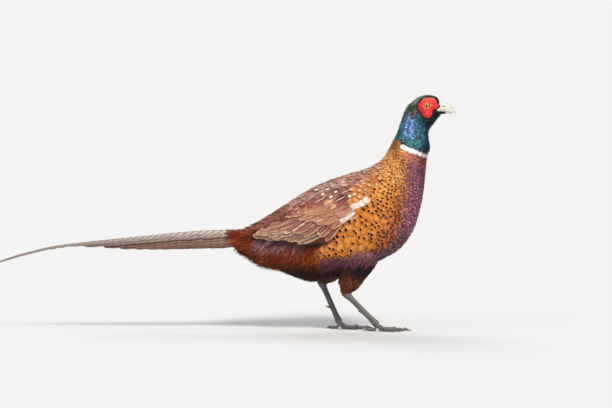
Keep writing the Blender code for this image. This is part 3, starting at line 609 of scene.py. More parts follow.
def body_colours(u, t, point, chance):
    """The looks of the feathers from the collar to the tail: a dictionary of arrays. Each zone is laid over the ones
    before it in proportion to its share."""
    n = len(u)
    x, z = point[:, 0], point[:, 2]
    front = smooth(-9, 9, x - breast_line(z) + chance.normal(0, 3.0, n))
    under, rear = belly_share(point), rear_share(point)
    back = back_share(point)
    over_back = smooth(0.04, 0.1, np.minimum(t, 1 - t))
    golden = varied(chance, n, "c8701c e48e3a d47e2e ea9e50")
    pale = varied(chance, n, "e4944a f9bc70 eea658")
    ground = blend(golden, pale, smooth(190, 240, z) * (1 - front) * 0.8)
    rim = blend(golden, varied(chance, n, "7c3a14 a35524"), 0.8)
    rim_amount = np.interp(u, (9, 12), (0.25, 0.45))
    mark = INK + 0 * golden
    spotted = chance.random(n) < np.interp(u, (8.8, 10.5, 12), (0.42, 0.6, 0.74))
    spot_amount = over_back * np.where(spotted, 1.0, 0.0)
    grow = chance.uniform(0.85, 1.15, n)
    long = np.interp(u, (9, 10.5, 12, 14), (0.2, 0.13, 0.085, 0.075)) * grow
    broad = np.interp(u, (9, 10.5, 12, 14), (0.5, 0.54, 0.64, 0.68)) * grow
    spot = np.stack([np.full(n, 0.86), long, broad], 1)
    ring, shaft, bars = np.zeros((3, n))

    behind = smooth(14, -6, x - np.interp(z, (196, 216, 246), (206, 222, 244))) * smooth(196, 206, z)
    dashed = (behind > chance.random(n)) & (back <= 0.5)
    mark = blend(mark, CREAM + 0 * mark, dashed)
    spot_amount = np.where(dashed, np.where(chance.random(n) < 0.5, 0.85, 0.0), spot_amount)
    spot = np.where(dashed[:, None], np.stack([0.84 + 0 * x, 0.13 * grow, 0.2 * grow], 1), spot)
    ring = np.where(dashed, 0.4, ring)
    ground = blend(ground, varied(chance, n, "b4683a c98048 a85a34"), behind * (1 - back) * 0.7)

    marked = back > 0.5
    ground = blend(ground, varied(chance, n, "885048 a6695c b87661 764240 c28a76"), back)
    low = smooth(214, 198, z) * smooth(142, 172, x)
    ground = blend(ground, varied(chance, n, "c68054 dca074 b06c50"), back * low * 0.9)
    rim = blend(rim, varied(chance, n, "d0a484 8a5648 c08a70"), back)
    mark = blend(mark, CREAM + 0 * mark, marked)
    row = spotted_places(t, x, z)
    white_spot = row | ((chance.random(n) < 0.16 * smooth(214, 222, z)) & marked)
    marked = marked | row
    spot_amount = np.where(marked, np.where(white_spot, 1.0, 0.0), spot_amount)
    ring = np.where(white_spot, 0.9, ring)
    grow = np.where(row, chance.uniform(1.05, 1.3, n), chance.uniform(0.45, 0.75, n))
    spot = np.where(marked[:, None], np.stack([0.8 + 0 * x, 0.1 * grow, 0.34 * grow], 1), spot)
    shaft = np.where(marked & ~row & (chance.random(n) < 0.5), 0.75, shaft)

    covered = smooth(1.0, 3.0, wing_bulge(point)) * (back < 0.97) * (x < 200) * ~row
    ground = blend(ground, varied(chance, n, "84483f 96564a 6f3838"), covered)
    spot_amount = spot_amount * (1 - covered)
    streaked = (covered > 0.5) & (chance.random(n) < 0.6)
    mark = blend(mark, CREAM + 0 * mark, streaked)
    shaft = np.where(streaked, 0.8, shaft)

    near = smooth(-34, -6, x - breast_line(z)) * (1 - front)
    ground = painted(
        *(ground, chance),
        ("b0582c a04a34 c4703c", near * smooth(236, 200, z) * 0.75),
        ("98506a c47c90 ac6078 cc8c98", front),
        ("96402f 7e3028", front * smooth(305, 317, x + 0.2 * (z - 200)) * 0.6),
        ("5a2620 743830", front * smooth(165, 135, z) * 0.75),
        ("8c4434 b06a48 a05a44", front * smooth(-22, -9, collar_height(point)) * (u > 8) * 0.7),
    )
    rim = blend(rim, varied(chance, n, "2a1018 451e28"), np.clip(front + 0.6 * near, 0, 1))
    rim_amount = rim_amount + (0.85 - rim_amount) * front
    dotted = np.clip(front + near * smooth(262, 240, z), 0, 1)
    spot_amount = np.where(dotted > chance.random(n), 0.95 * over_back * (chance.random(n) < 0.8), spot_amount)
    mark = blend(mark, rgb("1c0c1c") + 0 * mark, front)
    spot = blend(spot, np.array([0.86, 0.14, 0.6]), dotted)

    black = varied(chance, n, "280e06 401a0e 170905")
    ground = blend(ground, black, under)
    depth = belly_line(x) - z
    gloss = smooth(-4, 3, depth) * smooth(24, 13, depth) * (1 - rear)
    ground = blend(ground, varied(chance, n, "643038 82484c 4a3856 6c3636"), gloss * 0.95)
    rim = blend(rim, black * 0.6, under)
    spot_amount = spot_amount * (1 - under)

    over = rear * smooth(-4, 4, rear * 20 - back * 9 - 2)
    rufous = rear_colours(point, chance)
    ground = blend(ground, rufous, over)
    rim = blend(rim, rufous * 0.6, over)
    rim_amount = rim_amount * (1 - 0.4 * over)
    spot_amount = spot_amount * (1 - over)
    ring, shaft = ring * (1 - over), shaft * (1 - over)

    # Painted shadow: the coat darkened in a band a few millimetres deep just under the folded wing's lower edge
    under_edge = np.interp(x, (40, 92, 128, 161, 173), (144, 140, 134, 137, 154)) - z
    shadow = smooth(-2, 1, under_edge) * smooth(5, 2, under_edge) * smooth(172, 160, x) * smooth(48, 60, x)
    ground = ground * (1 - 0.75 * shadow)[:, None]
    nape = smooth(9.8, 8.6, u)
    ground = blend(ground, varied(chance, n, "a04a22 cf7a42 b86034"), nape * (1 - front) * 0.7)
    spot_amount = spot_amount * smooth(8.6, 9.0, u)
    return pack_looks(ground, rim, rim_amount, mark, spot_amount, spot, ring, shaft, bars)


# The two pale patches at the bend of the wing: middle as x and z, way along it, half length, half width
PALE_PATCHES = (
    ((209.5, 199.0), (-0.95, -0.3), 15.5, 5.6),
    ((190.0, 179.0), (-0.88, -0.47), 13.5, 5.6),
)


def paint_patches(place, looks):
    """Blends the looks of points of feathers to a pinkish cream on the pale patches, which have wavering edges. The
    cream is lighter towards a feather's root, where the material paints shade over it. place is where each point's row
    lies."""
    x, z = place[:, 0] + 0.8 * np.sin(place[:, 2] * 0.8), place[:, 2] + 0.7 * np.sin(place[:, 0] * 0.7)
    share = np.zeros(len(place))
    for (middle_x, middle_z), (way_x, way_z), long, wide in PALE_PATCHES:
        ahead = (x - middle_x) * way_x + (z - middle_z) * way_z
        aside = (x - middle_x) * way_z - (z - middle_z) * way_x
        share = np.maximum(share, smooth(1.15, 0.85, np.hypot(ahead / long, aside / wide)))
    white = rgb("f6e8dc") * (1.8 - 0.8 * smooth(0.15, 0.75, looks["vane"][:, 0]))[:, None]
    looks["ground"][:, :3] = blend(looks["ground"][:, :3], white, share * 0.95)
    looks["rim"][:, :3] = blend(looks["rim"][:, :3], rgb("d8b49c") + 0 * place, share)
    looks["ground"][:, 3] *= 1 - share
    looks["mark"][:, 3] *= 1 - np.minimum(1, share * 2)
    looks["lines"] = looks["lines"] * (1 - 0.8 * share)[:, None]


# Where the largest white spots of the shoulder lie: x and z on either side
WHITE_SPOTS = ((143, 215), (153, 208), (162, 216), (173, 213), (170, 204), (178, 222), (191, 206))


def spotted_places(t, x, z):
    """True for the one feather on each side that lies nearest behind each place of WHITE_SPOTS, if it is near."""
    found = np.zeros(len(t), bool)
    for middle_x, middle_z in WHITE_SPOTS:
        far = np.hypot(x - middle_x - 4.5, z - middle_z - 2.5)
        for side in (t < 0.5, t >= 0.5):
            reach = np.where(side, far, 99.0)
            nearest = np.argmin(reach)
            found[nearest] = found[nearest] or reach[nearest] < 7
    return found


def rear_colours(point, chance):
    """The loose feathers behind the flank and over the rump: rufous, with a purple grey sheen where they come out
    under the wing, and dark below."""
    n = len(point)
    x, z = point[:, 0], point[:, 2]
    return painted(
        *(varied(chance, n, "601c04 903a12 722806 a84c1c 4a1604"), chance),
        ("140903 261208 3a1c0a", smooth(112, 90, z) * smooth(70, 105, x) * 0.95),
        ("94747c b8969a 84626a 74402e", bell(z, 133, 9) * smooth(138, 112, x) * smooth(40, 58, x) * 0.95),
        ("7a3c2a 94543c 683020", smooth(150, 160, z) * 0.8),
    )


def pack_looks(ground, rim, rim_amount, mark, spot_amount, spot, ring, shaft, bars, inner=0.0):
    """The looks as the attributes that plumage() reads: three colours, each with the strength of what it belongs to,
    the spot's place and size, and the strengths of its ring, the shaft line and the bars."""
    return {
        "ground": np.column_stack([ground, inner + np.zeros(len(ground))]),
        "rim": np.column_stack([rim, rim_amount]),
        "mark": np.column_stack([mark, spot_amount]),
        "spot": spot,
        "lines": np.column_stack([ring, shaft, bars]),
    }


def plain_looks(ground, rim, rim_amount):
    """The looks of feathers that have no spot, shaft line or bars."""
    none = np.zeros(len(ground))
    spot = np.tile([0.9, 0.1, 0.3], (len(ground), 1))
    return pack_looks(ground, rim, none + rim_amount, ground, none, spot, none, none, none)


def collar_height(point):
    """How far a place lies above the middle line of the white collar, which falls towards the throat."""
    x, z = point[:, 0], point[:, 2]
    return z - (284.4 - (x - 274.4) * 0.39) + 0.6 * np.sin(x * 0.9) + 0.5 * np.sin(x * 2.3 + 1) + 0.3 * np.sin(x * 5.1)


def head_colours(u, t, point, chance):
    """The looks of the feathers from the bill to the collar: green crown, black face and throat, a blue and violet
    middle of the neck with teal about it, a grey-brown patch on the ear, and the white collar."""
    n = len(u)
    x, z = point[:, 0], point[:, 2]
    nape = np.minimum(t, 1 - t)
    edge = np.interp(u, (0, 2.5, 4, 5.5), (0.075, 0.085, 0.14, 0.19))
    top = smooth(edge, edge - 0.03, nape)
    throat = smooth(0.31, 0.4, nape)
    teal = varied(chance, n, "0f4448 2a7880 10525e 5cc0bc 1a5c58")
    blue = varied(chance, n, "27478c 6f9fe0 3460a8 a4ccf8 2c3f90 8494e8")
    ground = blend(teal, blue, np.clip(1.25 * bell(x, 286, 14) * bell(z, 317, 18), 0, 1) * (1 - throat))
    base = smooth(20, 6, collar_height(point))
    ground = painted(
        *(ground, chance),
        ("06303e 104c60 1c6a72 58a4ac 083646", base * (1 - throat) * 0.9),
        ("06122a 10285a 0a1e44 1a4080", throat * 0.9),
        ("16504c 3f9a94 6cc4b8 1c5c60", smooth(0.13, 0.05, nape) * smooth(4.8, 5.6, u) * 0.7),
    )
    ground = ground * (np.exp(chance.normal(-0.2, 0.38, n) * (1 + 0.4 * base)) * (1 - 0.35 * base))[:, None]
    face = np.clip(smooth(5.2, 3.9, u) * (1 - top) + smooth(3.6, 2.2, past_wattle(point)) * (u < 5), 0, 1)
    ear = smooth(11, 6.5, np.hypot(x - 292.5, (z - 338.5) * 0.9))
    ground = painted(
        *(ground, chance),
        ("2c5a44 748a5c 3c7858 a89c78 8a7458", top * smooth(5.6, 4.4, u)),
        ("04060c 0a101c 08161a", face * 0.95),
        ("40303c 201820 86747c 544450", ear * 0.92),
    )
    # Rims at 0.3 of the ground: painted shade in the gaps between feathers
    looks = plain_looks(ground, ground * 0.3, 0.65)
    looks["below_collar"] = body_colours(u, t, point, chance)["ground"][:, :3] * 0.8
    return looks


def collared(place, above, below):
    """The colours of places of the neck: above the collar, white on it and below it, with edges that waver a little;
    and how white each place is."""
    x, line = place[:, 0], collar_height(place)
    wide = 3.3 + 0.4 * np.sin(x * 0.5) - 0.6 * smooth(295, 310, x)
    white = smooth(wide + 0.5, wide - 0.5, np.abs(line)) * smooth(271, 276, x)
    under = np.clip(smooth(-wide + 0.5, -wide - 0.5, line) + smooth(275, 270, x) * smooth(9, 6, line), 0, 1)
    return blend(blend(above, below, under), WHITE + 0 * above, white), white


def coat_spacing(u, point):
    """How far apart the feathers stand at a place of the coat: lines through distances for some stations, 30 % less
    on the breast. It is 0 where none grow: on the bare skin, on the corner of the mouth, before the bill's base and
    under the long feathers of the wing."""
    apart = np.interp(u, (0, 2, 4.7, 7.6, 8.6, 10, 12, 14, 19, 24), (1.7, 1.9, 2.4, 2.7, 3.4, 5.0, 8.0, 10.5, 7.6, 6.5))
    apart = apart * (1 - 0.3 * smooth(-36, 4, point[..., 0] - breast_line(point[..., 2])) * (u > 9))
    x, z = point[..., 0], point[..., 2]
    bare = (past_wattle(point) < 0.6) & (u < 5)
    gape = (z < np.interp(x, (328, 332.5, 336, 339), (340.6, 343.2, 346.6, 348))) & (x > 328)
    gape = gape & (z > np.interp(x, (328, 336), (340.3, 338.8)))
    bare = bare | (gape & (u < 3))
    under_wing = (wing_bulge(point) > 3.0) & (x < 178) & (back_share(point + np.array([0, 0, 12.0])) < 0.5)
    return np.where(bare | (u < 0.05) | under_wing, 0, apart)


def make_tract(u, t, chance, looks, scale=1.0):
    """The sizes and the lie of feathers at their roots: length and half width in proportion to their spacing, lean
    towards the belly on the flank and more on the rump, and small random changes. A feather has the colours of the
    place that the share SHOWN of its length covers."""
    point = body_point(u, t)
    apart = np.maximum(coat_spacing(u, point), 1.5) * scale
    n = len(u)
    x, z = point[:, 0], point[:, 2]
    rear = rear_share(point)
    side = np.sin(math.tau * t) ** 2
    lean = 0.22 * smooth(10, 13, u) * side + 0.75 * rear * smooth(160, 130, z) * smooth(30, 80, x) * side
    lean = lean + chance.normal(0, 0.07, n)
    length = apart * COAT_LENGTH * chance.uniform(0.92, 1.1, n)
    _, along, around, way, _ = lie(body_point, u, t, lean)
    du, dt = along_surface(way * SHOWN * length[:, None], along, around)
    tract = dict(
        **{"u": u, "t": t, "lean": lean, "length": length},
        width=apart * COAT_WIDTH * chance.uniform(0.93, 1.07, n),
        bend=apart * chance.normal(0, 0.1, n),
        sunk=np.interp(u, (0, 5, 9, 13), (0.9, 1.2, 2.0, 2.8)),
        rise=np.interp(u, (0, 5, 9, 13), (0.25, 0.4, 0.8, 1.1)) * chance.uniform(0.5, 1.4, n),
        camber=np.interp(u, (0, 5, 9, 13), (0.25, 0.35, 0.6, 0.9)),
        thick=np.interp(u, (0, 9, 13), (0.7, 1.0, 1.3)),
    )
    tract.update(looks(u + du, (t + dt) % 1, body_point(u + du, t + dt), chance))
    return tract


def part_of(tract, keep):
    """The feathers of a tract for which keep is true."""
    return {key: values[keep] for key, values in tract.items()}


# Wings


# Tiers of the long feathers of the folded wing, lowest first: how many, first and last root, first and last tip as x
# and z, half width, how far the root lies under and the tip over the wing's surface, bow of the feather, looks
WING_TIERS = (
    ("primary", 6, (122, 152), (130, 166), (60, 143.5), (42, 148), 5.4, -2.6, -1.6, 0.6),
    ("secondary", 9, (163, 160), (124, 186), (117, 139), (50, 147.5), 6.6, -2.6, -0.4, 0.6),
    ("covert", 8, (188, 178), (164, 206), (158, 143), (80, 154), 6.8, -2.8, 0.9, -1.5),
    ("tertial", 6, (150, 182), (147, 203), (48, 149), (64, 162), 6.6, -2.8, 1.6, 4.0),
    ("median", 8, (203, 188), (162, 208), (165, 161), (92, 178), 6.8, -2.2, 2.2, -1.5),
    ("scapular", 8, (208, 204), (150, 209), (172, 180), (98, 184), 6.2, -2.0, 2.8, 1.0),
)
# Looks of each tier: codes of the ground, codes of the pale edge, how strong the edge and the bars are
WING_LOOKS = {
    "primary": ("8a5a48 6e4234", "e2ccaa d2b08c d2b08c", 0.8, 0.6),
    "secondary": ("9c6658 864e48 8c5448", "eedcba dcbc94 dcbc94", 0.9, 0.25),
    "covert": ("84463e 9c5c4e 703a36 8c4c44", "f8e8c8 eccfa2 dcae80 dcae80", 0.95, 0.1),
    "tertial": ("98544a ac6e62 80443c", "eed6b4 d0a078 dcb890 dcb890", 0.85, 0.15),
    "median": ("b06a50 c88668 8c5046", "f4e4c0 e8c494 d09c70 d09c70", 0.95, 0.1),
    "scapular": ("b06850 c88a68 8a4e44", "f0dcc0 e2c09c c89678 c89678", 0.95, 0.0),
}


def wing_point(x, z, rise, sign):
    """The point at x and z that stands the wing's lift and its own rise out from the body's side."""
    u, t = side_place(x, z)
    return np.stack([x, sign * (body_point(u, t)[..., 1] + wing_lift(x) + rise), z], -1)


def wing_feathers(side, chance):
    """The long feathers of one folded wing. Each runs from its root to its tip on a line bowed by a half sine, and has
    its outline's half width square to that line, less a few random splits. It stands over the wing from sunk at its
    root to raised at its tip, with the power 0.6, and slopes up to its lower edge over the feather below. Its camber
    is the square of the share across, and its shaft a bell across."""
    name, sign = side
    rows, columns, splits = 25, 7, 4
    a, (b, below) = np.linspace(0, 1, rows), vane_columns(columns)
    pieces, shafts, roots = [], [], []
    looks = {key: [] for key in ("vane", "ground", "rim", "mark", "spot", "lines")}
    for tier, count, first_root, last_root, first_tip, last_tip, half, sunk, raised, bow in WING_TIERS:
        share = np.linspace(0, 1, count) + chance.normal(0, 0.12, count) / count
        root = blend(np.array(first_root, float), np.array(last_root, float), share)
        tip = blend(np.array(first_tip, float), np.array(last_tip, float), share) + chance.normal(0, 1.3, (count, 2))
        way = unit(tip - root)
        tip = tip + way * np.clip(chance.normal(0, 4.5, count), -10, 2.0)[:, None]
        down = np.stack([way[:, 1], -way[:, 0]], -1)
        down = down * np.where(down[:, 1:] > 0, -1, 1)
        wide = outline(a, 0.62, 0.6)
        size = half * chance.uniform(0.85, 1.12, (count, 1))
        split = np.zeros((count, rows))
        for _ in range(splits):
            at = chance.integers(rows // 2, rows - 3, count)
            split[np.arange(count), at] = chance.uniform(0.04, 0.16, count)
        reach = size * wide * (1 - split)
        middle = root[:, None] + (tip - root)[:, None] * a[:, None] + down[:, None] * (bow * np.sin(np.pi * a))[:, None]
        flat = middle[:, :, None] + down[:, None, None] * (reach[:, :, None] * b)[..., None]
        rise = sunk + (raised - sunk) * a**0.6
        rise = rise[:, None] + 0.8 * b - 0.9 * b**2 * wide[:, None] + 0.35 * bell(b, 0, 0.2) * (1 - a[:, None])
        rise = rise + chance.uniform(-0.15, 0.15, count)[:, None, None] - below * 0.45
        points = wing_point(flat[..., 0], flat[..., 1], rise, sign)
        if sign > 0:
            points = points[:, :, ::-1][:, :, np.r_[1 : columns + 1, 0]]
        pieces.append(points)
        shafts.append(np.repeat(points[:, :, columns // 2], columns + 1, 1).reshape(-1, 3))
        across = b if sign < 0 else -b
        margin = np.maximum(np.maximum(b * 1.1, -b * 0.62), smooth(0.8, 1.0, a)[:, None] * 0.82) + 0 * a[:, None]
        margin = margin if sign < 0 else margin[:, ::-1][:, np.r_[1 : columns + 1, 0]]
        vane = np.stack([a[:, None] + 0 * b, across + 0 * a[:, None], margin], -1)
        looks["vane"].append(np.tile(vane.reshape(-1, 3), (count, 1)))
        grounds, rims, rim_amount, bars = WING_LOOKS[tier]
        none, spot = np.zeros(count), np.tile([0.8, 0.1, 0.3], (count, 1))
        pale, ground = varied(chance, count, rims), varied(chance, count, grounds)
        amount = rim_amount * chance.uniform(0.72, 1.05, count)
        made = pack_looks(ground, pale, np.minimum(amount, 1), pale, none, spot, none, none + 0.4, none + bars, 0.6)
        for key, values in made.items():
            values = np.repeat(values, rows * (columns + 1), 0)
            if key == "rim":
                values[:, 3] *= np.tile(np.repeat(smooth(-0.1, 0.65, a), columns + 1), count)
            looks[key].append(values)
        u, t = side_place(root[:, 0], root[:, 1])
        roots.append(patch_places(u, t if sign > 0 else 1 - t))
    looks = {key: np.vstack(values) for key, values in looks.items()}
    paint_patches(np.vstack(shafts), looks)
    count = sum(len(places) for places in roots)
    patches = (np.vstack(roots)[:, None, None] + patch_spread(a, b)).reshape(-1, 2)
    faces = repeated(vane_faces(rows, columns), count, rows * (columns + 1))
    # Stiff keratin vanes whose hooked barbs lie flat: matt, with a faint sheen along them
    made = plumage("wing_feathers_" + name, 26.0, 0.00012, 0.6, Sheen_Weight=0.1)
    new_piece("flight_feathers_" + name, np.vstack(pieces), faces, made, "wing", looks, patches)


# Tail

# The tail closed like a roof: x, top z, drop from the ridge to the eaves and half width, from root to tip
TAIL = (
    (24.0, 154.5, 21.0, 14.0),
    (-6.0, 153.8, 22.0, 16.0),
    (-51.6, 151.6, 22.0, 16.0),
    (-123.5, 144.6, 22.5, 13.5),
    (-205.8, 136.6, 21.5, 10.0),
    (-265.1, 128.6, 10.0, 6.5),
    (-321.5, 114.6, 4.0, 4.0),
    (-359.6, 101.4, 1.5, 2.0),
)
TAIL_LENGTHS = (379.6, 238.0, 206.0, 182.0, 160.0, 140.0, 122.0, 106.0, 92.0)
TAIL_HALF_WIDTHS = (11.5, 12.5, 10.0, 9.0, 8.5, 8.0, 7.5, 7.0, 6.5)
TAIL_PLACES = (0.12, 0.37, 0.55, 0.69, 0.78, 0.85, 0.91, 0.96, 1.0)
TAIL_GROUNDS = ("c4b4ac", "b49c90", "b8947e", "b08872", "a47e6a", "94705c", "845e4a", "66463a", "c09474")
# How far the outer vane of a tail feather bends down, in radians: of the middle pair, and of the others
TAIL_FOLDS = (1.15, 0.5)
TAIL_ROOT_X = 20.0
EAVES_ANGLE, EAVES_TURN = math.radians(68), math.radians(78)
TAIL_TILT = math.radians(13)
TAIL_ROW_STEP = 4.5
TAIL_DARK_PAIR = 7  # the pair near the eaves whose edge is dark
TAIL_UNIT = 100.0  # millimetres along a feather for 1 in its attribute


def tail_frame(x, place):
    """The centre, way across and way out of a tail feather at x, for a place from ridge (0) to eaves (1). The way out
    leans from straight up by the place's share of EAVES_ANGLE. The centre stands aside by the half width times the
    sine of its share of EAVES_TURN, and lies below the ridge by the drop times the place to the power 1.4."""
    keys = np.array(TAIL)
    _, ridge, drop, half_width = np.moveaxis(spline(keys, np.interp(-x, -keys[:, 0], np.arange(len(keys)))), -1, 0)
    angle = EAVES_ANGLE * place
    out = np.array([0, math.sin(angle), math.cos(angle)])
    across = np.array([0, math.cos(angle), -math.sin(angle)])
    centre = np.stack([x, half_width * math.sin(EAVES_TURN * place), ridge - drop * place**1.4], -1)
    return centre, across, out


def tail_feathers(chance):
    """Nine pairs of tail feathers, the middle pair longest and uppermost, each tilted under the one above it. The half
    width grows over the first sixth of the length, then tapers evenly and rounds off at the tip. The vane bends down
    in an arc on its outer side and with the power 1.5 on its inner side. The shaft is a bell across, which thins to
    the tip. The edges are frayed by random shares of the width that grow with its cube, with a few splits."""
    columns = 9
    b, below = vane_columns(columns)
    pieces, faces, patches, start = [], [], [], 0
    looks = {key: [] for key in ("vane", "ground", "rim", "mark")}
    for pair, (length, half_width) in enumerate(zip(TAIL_LENGTHS, TAIL_HALF_WIDTHS)):
        rows = max(24, int(length / TAIL_ROW_STEP))
        a = np.linspace(0, 1, rows)
        place = TAIL_PLACES[pair]
        tilt = 0.0 if pair == 0 else TAIL_TILT
        for sign in SIDES.values():
            centre, across, out = tail_frame(TAIL_ROOT_X - length * a, place)
            taper, fold = (0.7, TAIL_FOLDS[0]) if pair == 0 else (0.45, TAIL_FOLDS[1])
            half = half_width * (0.6 + 0.4 * np.minimum(1, a * 6)) * (1 - taper * a) * outline(a, 0.9, 0.9)
            sink = 2.0 * np.maximum(0, 1 - a * 14) + (0 if pair == 0 else 1.8) * (1 - 0.7 * a)
            level = 0.8 if pair == 0 and sign > 0 else 0.0
            ragged = np.clip(chance.normal(0, 0.06, (rows, 2)), -0.12, 0.05)
            ragged[chance.integers(4, rows - 2, rows // 7), chance.integers(0, 2, rows // 7)] = -0.14
            ragged[:, 0] *= 0.3
            short = 0.35 if pair == 0 else 1.0
            frayed = 1 + np.where(b < 0, ragged[:, :1], ragged[:, 1:]) * np.abs(b) ** 3
            reach = b[None] * np.where(b < 0, short, 1.0) * frayed
            lean = across * math.cos(tilt) + out * math.sin(tilt)
            shaft = 0.8 * bell(b, 0, 0.16) * (1 - a[:, None]) ** 0.7
            bent = np.maximum(reach, 0) * fold
            aside = np.where(reach > 0, np.sin(bent) / fold, reach) * half[:, None]
            droop = (1 - np.cos(bent)) / fold + 0.12 * np.maximum(-reach, 0) ** 1.5
            height = (level - sink)[:, None] + shaft - droop * half[:, None] - below * (0.8 - 0.5 * a[:, None])
            points = centre[:, None] + lean * aside[..., None] + out * height[..., None]
            points = points * [1, sign, 1]
            side_share = b + 0 * a[:, None]
            if sign > 0:
                order = np.r_[columns - 1 : -1 : -1, columns]
                points, side_share = points[:, order], side_share[:, order]
            margin = np.maximum(np.abs(side_share), smooth(0.97, 1.0, a)[:, None])
            vane = np.stack([(a * length)[:, None] / TAIL_UNIT + 0 * b, -side_share, margin], -1)
            n = rows * (columns + 1)
            pieces.append(points.reshape(-1, 3))
            looks["vane"].append(vane.reshape(-1, 3))
            looks["ground"].append(np.tile([*rgb(TAIL_GROUNDS[pair]), chance.random()], (n, 1)))
            rim = rgb("1c120e" if pair == TAIL_DARK_PAIR else "6a4436")
            looks["rim"].append(np.tile([*rim, 0.7 if pair else 0.25], (n, 1)))
            looks["mark"].append(np.tile([*rgb("241713"), 0.85], (n, 1)))
            faces.append(vane_faces(rows, columns) + start)
            turn = 0.03 + 0.2 * place
            middle = patch_places(np.array([BODY_END]), np.array([turn if sign > 0 else 1 - turn]))
            patches.append(middle + patch_spread(a, side_share).reshape(-1, 2))
            start += n
    looks = {key: np.vstack(values) for key, values in looks.items()}
    points, faces, patches = (np.vstack(arrays) for arrays in (pieces, faces, patches))
    new_piece("tail_feathers", points, faces, tail_finish(), "tail", looks, patches, ("tail",))


def tail_finish():
    """Tail feathers, stiff keratin vanes with a dull sheen: buff grey with dark bars across every 11 mm, which break
    up towards the edge, fine flecks between them, a pale shaft, and loose purplish brown margins. Their barbs,
    0.5 mm apart in life, are drawn 1.2 mm apart, because finer ones don't show."""
    made, tree = finish("barred_tail_feathers", Roughness=0.62, Sheen_Weight=0.1)
    along, across, margin, outward, ground, rim, mark = feather_sockets(tree)
    bar_step, barb_step = 11.0 / TAIL_UNIT, 1.2 / TAIL_UNIT
    place = add(tree, "TexCoord", out=3)
    # Flecks of 1.4 mm, and a wander of the bars over 11 mm
    grain = add(tree, "TexNoise", {0: place, "Scale": 700.0, "Detail": 4.0})
    wander = add(tree, "TexNoise", {0: place, "Scale": 90.0, "Detail": 3.0})
    slant = add(tree, "Math", (outward, -0.12, along), operation="MULTIPLY_ADD")
    phase = add(tree, "Math", (wander, 0.06, slant), operation="MULTIPLY_ADD")
    barbs = add(tree, "Math", (outward, -0.06, along), operation="MULTIPLY_ADD")
    wave, barbs = (
        add(tree, "Math", (add(tree, "Math", (way, math.tau / step), operation="MULTIPLY"),), operation="SINE")
        for way, step in ((phase, bar_step), (barbs, barb_step))
    )
    tone = add(tree, "MapRange", (barbs, -1.0, 1.0, 0.84, 1.08))
    for source in ((across, -0.9, 0.5, 0.74, 1.14), (along, 0.2, 2.4, 1.16, 0.62)):
        tone = add(tree, "Math", (tone, add(tree, "MapRange", source)), operation="MULTIPLY")
    bar = add(tree, "MapRange", (wave, 0.55, 0.85, 0.0, 1.0), **SOFT)
    near_shaft = add(tree, "MapRange", (outward, 0.95, 0.6, 0.3, 1.0))
    upper = add(tree, "MapRange", (across, -1.0, -0.5, 0.25, 1.0))
    for factor in (near_shaft, mark["Alpha"], upper):
        bar = add(tree, "Math", (bar, factor), operation="MULTIPLY")
    fleck = add(tree, "MapRange", (grain, 0.55, 0.7, 0.0, 0.35), **SOFT)
    edge = add(tree, "Math", (grain, 0.35, margin), operation="MULTIPLY_ADD")
    edge = add(tree, "MapRange", (edge, 0.66, 0.95, 0.0, 1.0), **SOFT)
    edge = add(tree, "Math", (edge, rim["Alpha"]), operation="MULTIPLY")
    shaft = add(tree, "MapRange", (outward, 0.1, 0.05, 0.0, 0.8))
    colour = add(tree, "Mix", {0: 1.0, 6: ground["Color"], 7: tone}, 2, **TINT)
    for share, over in (
        (fleck, rim["Color"]),
        (bar, mark["Color"]),
        (edge, rim["Color"]),
        (shaft, rgb("c9b294")),
    ):
        colour = add(tree, "Mix", {0: share, 6: colour, 7: over}, 2, **OVER)
    return surfaced(made, colour, barbs, 0.7, 0.00008)


# Skin, thighs and legs

LEGS = {
    "left": ((199.0, 26.0, 142.0), (151.0, 20.0, 72.0), 8.0),
    "right": ((214.0, 26.0, 140.0), (188.0, 28.0, 58.0), 38.0),
}
THIGH_BULGE = 2.0
# Rings of a feathered thigh from inside the body to the heel: half length, half width
THIGH_RINGS = (
    (23.0, 11.0),
    (30.0, 17.5),
    (30.0, 20.0),
    (26.0, 18.0),
    (21.0, 15.5),
    (17.5, 13.0),
    (14.5, 10.5),
    (9.0, 7.0),
)
THIGH_SHARES = (0.0, 0.18, 0.36, 0.52, 0.68, 0.82, 0.93, 1.0)
HEEL_SHOWS = 5.0
TOES = {"inner": (-33.0, 31.0), "middle": (2.0, 42.0), "outer": (36.0, 33.0), "hind": (174.0, 14.0)}


def leg_places(name):
    """The hip, the heel and the joint of the toes of a leg: the joint lies ahead of the heel by what the length of
    the tarsus leaves after its drop and its way out."""
    hip, heel, out = LEGS[name]
    sign = SIDES[name]
    hip, heel = np.array(hip) * [1, sign, 1], np.array(heel) * [1, sign, 1]
    drop = heel[2] - TOE_JOINT_HEIGHT
    stride = math.sqrt(TARSUS_LENGTH**2 - drop**2 - (out - abs(heel[1])) ** 2)
    return hip, heel, np.array([heel[0] + stride, out * sign, TOE_JOINT_HEIGHT])


def square_frame(direction, side_way):
    """Two unit directions square to direction: one nearest to side_way, and the third."""
    ahead = unit(np.asarray(direction, float))
    side = unit(side_way - ahead * dot(np.asarray(side_way, float), ahead)[..., None])
    return np.cross(ahead, side), side


